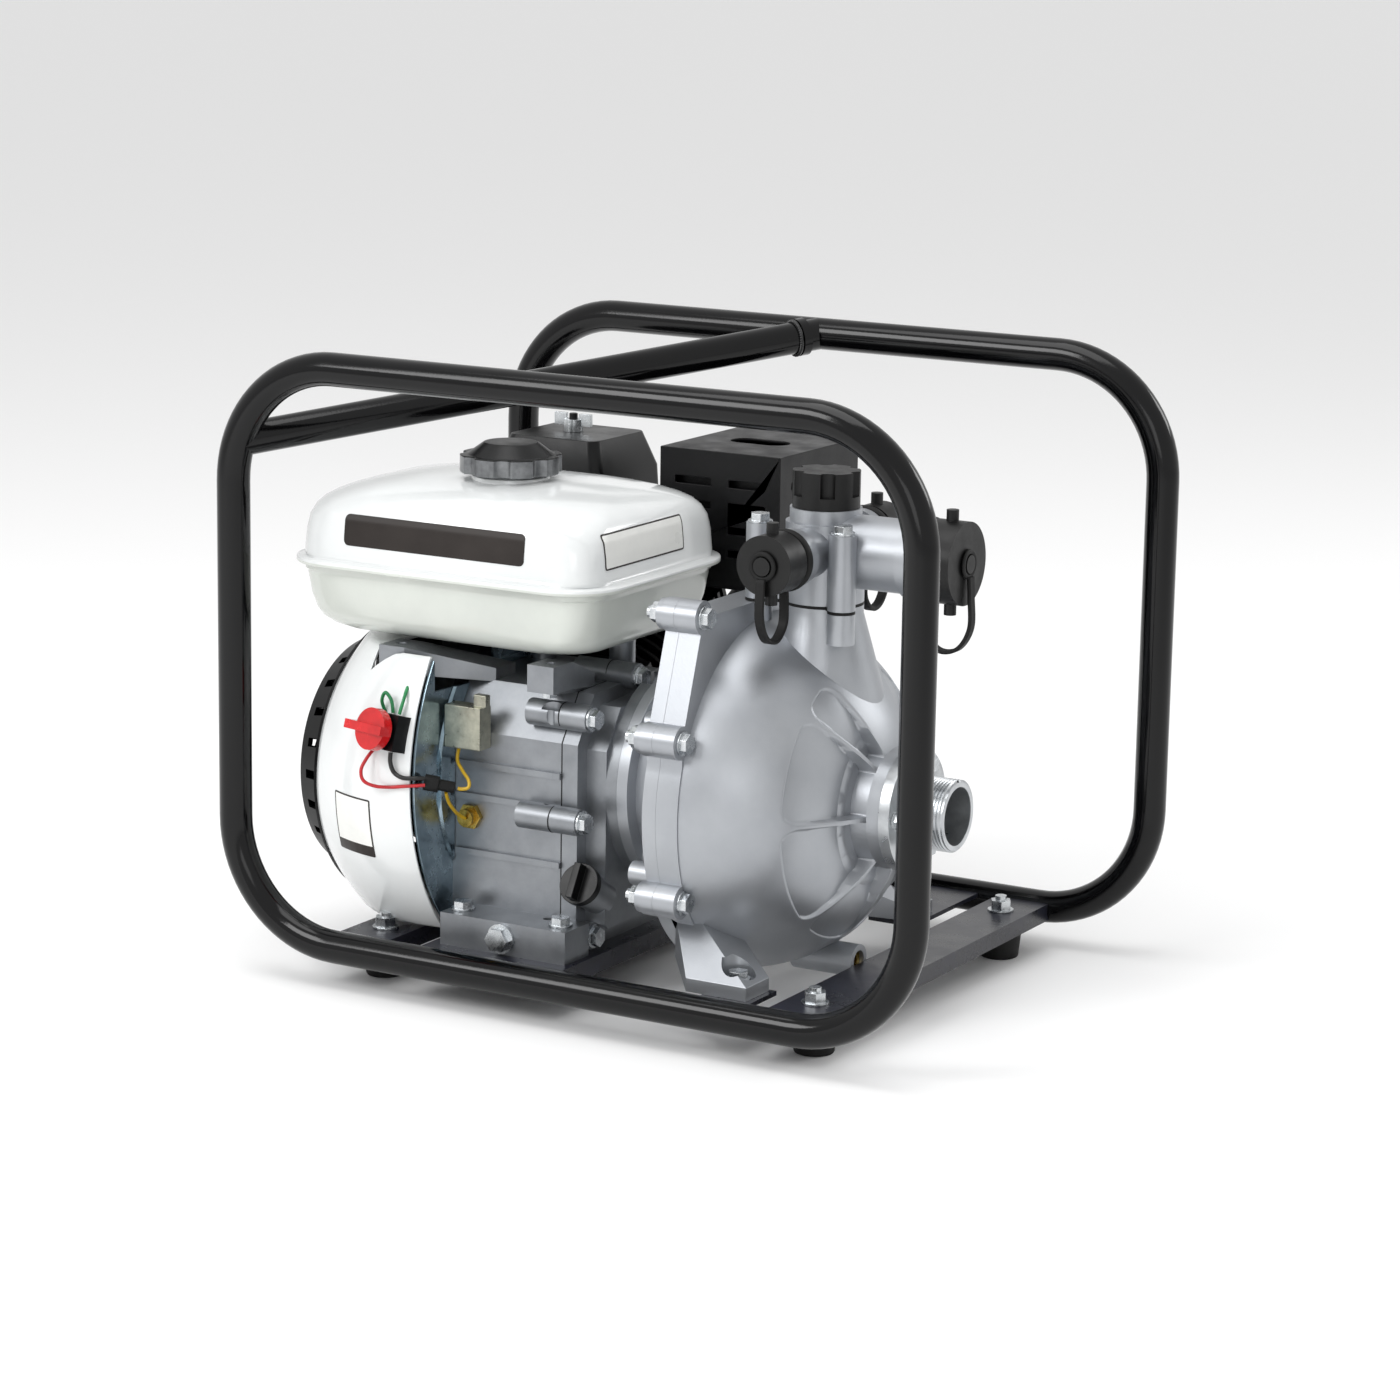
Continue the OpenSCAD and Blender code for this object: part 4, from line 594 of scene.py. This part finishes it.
bpy.ops.mesh.primitive_uv_sphere_add(segments=480, ring_count=320, radius=1,
                                     location=(dome["split"], *dome["middle"]), rotation=(0, math.pi / 2, 0),
                                     scale=(dome["radius"], dome["radius"], dome["length"]))
bowl = bpy.context.object
bpy.ops.object.transform_apply(location=True, rotation=True, scale=True)
selectFaces(bowl, lambda face: (face.center.x < dome["split"] + dome["collar"]
                                or fromAxis(face.center) < dome["hub"]))
bpy.ops.mesh.delete(type="FACE")
leaveEdit()
for vertex in bowl.data.vertices:
    across, above = vertex.co.y - dome["middle"][0], vertex.co.z - dome["middle"][1]
    rho = math.hypot(across, above)
    if rho > dome["hub"] + dome["hubEdge"]:
        vertex.co.x -= pocketDepth(rho, math.degrees(math.atan2(above, -across)))
# The rest of the casing: the CAD shape without its smooth dome
casing = mergedCopy("volute", "casing")


def onDome(face):
    slope = Vector(((face.center.x - dome["split"]) / dome["length"] ** 2,
                    (face.center.y - dome["middle"][0]) / dome["radius"] ** 2,
                    (face.center.z - dome["middle"][1]) / dome["radius"] ** 2)).normalized()
    reach = [math.hypot((point.x - dome["split"]) / dome["length"], fromAxis(point) / dome["radius"])
             for point in (casing.data.vertices[i].co for i in face.vertices)]
    return max(abs(value - 1) for value in reach) < dome["near"] and face.normal.dot(slope) > dome["facing"]


selectFaces(casing, onDome)
bpy.ops.mesh.delete(type="FACE")
bpy.ops.mesh.select_mode(type="VERT")
bpy.ops.mesh.select_all(action="SELECT")
mendFlats()
leaveEdit()
breakEdges(casing, dome["edge"])
settle(casing, "voluteFlange", "silverLacqueredCasting", "root", ["volute"])
flatFlats(casing)
settle(bowl, "voluteDome", "silverLacqueredCasting", "root", smooth=60)
print("pump casing made")

# Inlet pipe with its thread: a ridge 2.309 mm from turn to turn
thread = {"pitch": 0.002309, "turns": 11, "steps": 56, "root": 0.0227, "crest": 0.0238, "start": 0.1858,
          "buried": 0.0003, "plainFrom": 0.1835, "plainRadius": 0.0239, "near": 0.0004, "edge": 0.0008}
pipe = cadCopy("inlet_pipe", "inletPipe")
for vertex in pipe.data.vertices:
    across, above = vertex.co.y - dome["middle"][0], vertex.co.z - dome["middle"][1]
    rho = math.hypot(across, above)
    if vertex.co.x > thread["plainFrom"] and abs(rho - thread["plainRadius"]) < thread["near"]:
        vertex.co.y = dome["middle"][0] + across * thread["root"] / rho
        vertex.co.z = dome["middle"][1] + above * thread["root"] / rho
breakEdges(pipe, thread["edge"])
settle(pipe, "inletPipeBody", "machinedAluminium", "root", ["inlet_pipe"])
flatFlats(pipe)
bpy.ops.mesh.primitive_plane_add(size=1)
ridge = bpy.context.object
foot = thread["root"] - thread["buried"]
section = [(0.0, foot), (0.95, foot), (0.38, thread["crest"]), (0.57, thread["crest"])]
for vertex, (share, radius) in zip(ridge.data.vertices, section):
    vertex.co = (share * thread["pitch"], 0, radius)
editAll(ridge)
bpy.ops.mesh.delete(type="ONLY_FACE")
bpy.ops.object.mode_set(mode="OBJECT")
winding = ridge.modifiers.new("winding", "SCREW")
winding.axis = "X"
winding.angle = math.tau
winding.screw_offset = thread["pitch"]
winding.iterations = thread["turns"]
winding.steps = thread["steps"]
winding.render_steps = thread["steps"]
applyModifiers(ridge)
ridge.location = (thread["start"], *dome["middle"])
editAll(ridge)
bpy.ops.mesh.normals_make_consistent(inside=False)
bpy.ops.object.mode_set(mode="OBJECT")
settle(ridge, "inletThread", "machinedAluminium", "root", smooth=50)
print("inlet made")


# Points along a smooth curve through the given ones
def smoothPath(points, steps=8):
    knots = [Vector(points[0]), *map(Vector, points), Vector(points[-1])]
    path = []
    for a, b, c, d in zip(knots, knots[1:], knots[2:], knots[3:]):
        for step in range(steps):
            t = step / steps
            path.append(0.5 * (2 * b + (c - a) * t + (2 * a - 5 * b + 4 * c - d) * t * t
                               + (3 * b - a - 3 * c + d) * t ** 3))
    return path + [Vector(points[-1])]


# Each lead's node, finish, diameter in metres and route in millimetres
leads = {
    "blackLead": ("wire_black", "blackInsulation", 0.0030, [
        (-134.7, -169.9, 163.2), (-134.3, -171, 157), (-131.5, -171, 150.5), (-125, -170.5, 147.5),
        (-117, -167.5, 147.5), (-112.8, -163.2, 147.3)]),
    "redLead": ("wire_red", "redInsulation", 0.0024, [
        (-150, -166.6, 163.2), (-152.5, -172, 157), (-154, -176, 150), (-152, -176, 143), (-144, -174, 140),
        (-134, -170.5, 140), (-125, -169.5, 141.5), (-117, -167, 142.5), (-112.2, -163.4, 142.8)]),
    "greenLoop": ("wire_green", "greenInsulation", 0.0024, [
        (-145.5, -160.4, 187.8), (-147, -162, 195), (-143.5, -163, 201), (-139.5, -162, 196),
        (-138, -162.2, 187.8)]),
    "greenLead": ("wire_green", "greenInsulation", 0.0024, [
        (-132, -163.9, 187.8), (-131, -161, 196), (-132, -155, 203), (-134, -149.2, 205)]),
    "yellowLead": ("wire_yellow", "yellowInsulation", 0.0024, [
        (-110, -126, 161.6), (-108, -131, 154), (-100, -137, 149), (-92, -142, 144.5), (-90.5, -144.5, 140.5),
        (-94.4, -146, 139.1), (-97, -147.3, 139.5)]),
    "sensorLead": ("wire_yellow", "yellowInsulation", 0.0024, [
        (-104.5, -150, 136.2), (-106, -144, 128), (-106, -136, 120), (-104.5, -130, 115.5),
        (-104, -127.7, 114.3)]),
}
for name, (node, look, diameter, route) in leads.items():
    path = smoothPath([[value / 1000 for value in point] for point in route])
    lead = tubeAlong(path, diameter / 2, sides=3)
    lead.name = name
    lead.data.name = name
    lead.data.materials.append(finish[look])
    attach(lead, "root")
    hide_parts(node)

# Connector sleeve on the leads: a wide mouth with a narrower tail
sleeve = {"place": (-0.117, -0.158, 0.1435), "turn": (0, math.radians(100), math.radians(28)),
          "radius": 0.0054, "mouth": 0.010, "middle": 0.0055, "step": 0.0016, "tail": 0.0105, "edge": 0.0006}
bpy.ops.mesh.primitive_cylinder_add(vertices=40, radius=sleeve["radius"], depth=sleeve["mouth"],
                                    location=(0, 0, sleeve["middle"]))
mouth = bpy.context.object
selectFaces(mouth, lambda face: face.normal.z > 0.9)
bpy.ops.mesh.inset(thickness=sleeve["step"])
bpy.ops.mesh.extrude_region_move(TRANSFORM_OT_translate={"value": (0, 0, sleeve["tail"])})
leaveEdit()
breakEdges(mouth, sleeve["edge"])
pick(mouth)
bpy.ops.object.transform_apply(location=True, rotation=True, scale=True)
mouth.location = sleeve["place"]
mouth.rotation_euler = sleeve["turn"]
settle(mouth, "leadSleeve", "mouldedRubber", "root")


# A flat band along points that lie in one plane, with rounded edges
def bandAlong(points, side, width, thickness):
    side = Vector(side).normalized()
    ring = [(-0.5, -0.2), (-0.42, -0.5), (0.42, -0.5), (0.5, -0.2),
            (0.5, 0.2), (0.42, 0.5), (-0.42, 0.5), (-0.5, 0.2)]
    vertices, faces = [], []
    for i, point in enumerate(points):
        ahead = (points[min(i + 1, len(points) - 1)] - points[max(i - 1, 0)]).normalized()
        out = side.cross(ahead)
        vertices += [point + side * a * width + out * b * thickness for a, b in ring]
    count = len(ring)
    for i in range(len(points) - 1):
        for k in range(count):
            faces.append((i * count + k, i * count + (k + 1) % count, (i + 1) * count + (k + 1) % count,
                          (i + 1) * count + k))
    faces.append(tuple(reversed(range(count))))
    faces.append(tuple(range((len(points) - 1) * count, len(points) * count)))
    mesh = bpy.data.meshes.new("band")
    mesh.from_pydata(vertices, [], faces)
    band = bpy.data.objects.new("band", mesh)
    bpy.context.scene.collection.objects.link(band)
    editAll(band)
    bpy.ops.mesh.normals_make_consistent(inside=False)
    bpy.ops.object.mode_set(mode="OBJECT")
    return band


# Keeper straps: a collar round the outlet's neck, a hanging band and a ring round the cap's button
keeper = {"middle": (0.112, -0.035, 0.305), "width": 0.0066, "thickness": 0.0026, "capDepth": 0.022,
          "neckStep": 0.0031}
# Each outlet's turn in degrees, distance from the middle of the manifold, and its cap's radius
outlets = {"near": (-90, 0.060, 0.0195), "front": (0, 0.080, 0.0270), "far": (90, 0.060, 0.0195)}
for name, (turn, distance, radius) in outlets.items():
    neckRadius = radius - keeper["neckStep"]
    heading = Quaternion((0, 0, 1), math.radians(turn))
    centre = Vector(keeper["middle"])
    sides = heading @ Vector((0, 1, 0))
    parts = []
    for at, inner, outer, wide in ((distance - 0.0084, neckRadius + 0.0002, neckRadius + 0.0040, 0.0064),
                                   (distance + keeper["capDepth"] + 0.0003, 0.0063, 0.0098, 0.0025)):
        bpy.ops.mesh.primitive_torus_add(major_radius=(inner + outer) / 2, minor_radius=(outer - inner) / 2,
                                         major_segments=56, minor_segments=12)
        collar = bpy.context.object
        collar.scale = (1, 1, wide / (outer - inner))
        collar.rotation_euler = (0, math.pi / 2, 0)
        pick(collar)
        bpy.ops.object.transform_apply(location=True, rotation=True, scale=True)
        for vertex in collar.data.vertices:
            vertex.co = centre + heading @ (vertex.co + Vector((at + wide / 2, 0, 0)))
        parts.append(collar)
    route = [(distance - 0.0052, 0, -neckRadius - 0.0025), (distance - 0.006, 0, -neckRadius - 0.012),
             (distance - 0.005, 0, -radius - 0.022), (distance + 0.005, 0, -radius - 0.031),
             (distance + 0.018, 0, -radius - 0.028), (distance + 0.026, 0, -radius - 0.014),
             (distance + keeper["capDepth"] + 0.0036, 0, -radius + 0.006),
             (distance + keeper["capDepth"] + 0.0029, 0, -0.0082)]
    path = [centre + heading @ point for point in smoothPath(route, steps=10)]
    parts.append(bandAlong(path, sides, keeper["width"], keeper["thickness"]))
    pick(parts[-1], *parts[:-1])
    bpy.ops.object.join()
    strap = bpy.context.object
    settle(strap, name + "CapStrap", "mouldedRubber", "root",
           ["cap_straps"] if name == "near" else [], smooth=50)
print("leads and straps made")


vinyl = {"cell": 0.0011, "lift": 0.00025, "thickness": 0.0002}


# A thin blank film laid on a piece along one axis, with rounded corners, a border and a band at its foot
def label(name, middle, size, turn, target, axis, corner=0.002, looks=("whiteVinyl", "darkVinyl"),
          border=0.0, band=0.0):
    bpy.ops.mesh.primitive_grid_add(x_subdivisions=round(size[0] / vinyl["cell"]),
                                    y_subdivisions=round(size[1] / vinyl["cell"]), size=1)
    film = bpy.context.object
    film.data.materials.append(finish[looks[0]])
    film.data.materials.append(finish[looks[1]])
    for vertex in film.data.vertices:
        vertex.co = (vertex.co.x * size[0], vertex.co.y * size[1], 0)
    for face in film.data.polygons:
        inside = min(size[0] / 2 - abs(face.center.x), size[1] / 2 - abs(face.center.y))
        face.material_index = int(inside < border or face.center.y < band - size[1] / 2)
    for vertex in film.data.vertices:
        overX, overY = abs(vertex.co.x) - size[0] / 2 + corner, abs(vertex.co.y) - size[1] / 2 + corner
        if overX > 0 and overY > 0:
            pull = max(overX, overY) / math.hypot(overX, overY)
            vertex.co = (math.copysign(size[0] / 2 - corner + overX * pull, vertex.co.x),
                         math.copysign(size[1] / 2 - corner + overY * pull, vertex.co.y), 0)
    film.rotation_euler = turn
    film.location = middle
    pick(film)
    bpy.ops.object.transform_apply(location=True, rotation=True, scale=True)
    lay = film.modifiers.new("lay", "SHRINKWRAP")
    lay.target = target
    lay.wrap_method = "PROJECT"
    lay.use_project_x, lay.use_project_y, lay.use_project_z = [i == axis for i in range(3)]
    lay.use_negative_direction = True
    lay.use_positive_direction = True
    lay.offset = vinyl["lift"]
    body = film.modifiers.new("film", "SOLIDIFY")
    body.thickness = vinyl["thickness"]
    body.offset = 0
    applyModifiers(film)
    return settle(film, name, None, "root", smooth=50)


front, side = (math.pi / 2, 0, 0), (math.pi / 2, 0, math.pi / 2)
label("tankNamePlate", (-0.1232, -0.19, 0.3008), (0.1405, 0.0208), front, upperHalf, 1,
      corner=0.0036, looks=("darkVinyl", "darkVinyl"))
label("tankSideLabel", (0.05, -0.0660, 0.3010), (0.100, 0.0235), side, upperHalf, 0,
      border=0.0011)
label("shroudLabel", (-0.1715, -0.30, 0.1075), (0.0365, 0.0405), front, drum, 1,
      corner=0.001, border=0.0011, band=0.008)
print("labels laid")

# Floor, world and lamps
bpy.ops.mesh.primitive_circle_add(vertices=96, radius=40, fill_type="NGON")
floor = bpy.context.object
floor.name = "floor"
floorLook = bpy.data.materials.new("paleStudioFloor")
floorLook.use_nodes = True
floorShader = floorLook.node_tree.nodes["Principled BSDF"]
floorShader.inputs["Base Color"].default_value = hexToLinear("#f4f4f4")
floorShader.inputs["Roughness"].default_value = 0.9
floor.data.materials.append(floorLook)

world = bpy.data.worlds.new("studio")
world.use_nodes = True
world.node_tree.nodes["Background"].inputs["Color"].default_value = (1, 1, 1, 1)
world.node_tree.nodes["Background"].inputs["Strength"].default_value = 0.82
bpy.context.scene.world = world

# Each lamp's place and size in metres, and its power in watts
lampTarget = (0, 0, 0.18)
lamps = {"overhead": ((-0.2, -0.4, 2.2), 1.4, 17), "keyLeft": ((-1.1, -2.1, 1.7), 1.1, 30),
         "frontFill": ((1.2, -2.6, 0.9), 1.0, 5), "farRim": ((1.4, 1.9, 1.3), 0.8, 10)}
for name, (place, size, power) in lamps.items():
    bpy.ops.object.light_add(type="AREA", location=place)
    lamp = bpy.context.object
    lamp.name = name
    lamp.data.size = size
    lamp.data.energy = power
    lamp.rotation_mode = "QUATERNION"
    lamp.rotation_quaternion = (Vector(lampTarget) - Vector(place)).to_track_quat("-Z", "Y")
bpy.context.scene.view_settings.view_transform = "Standard"
print("stage set")
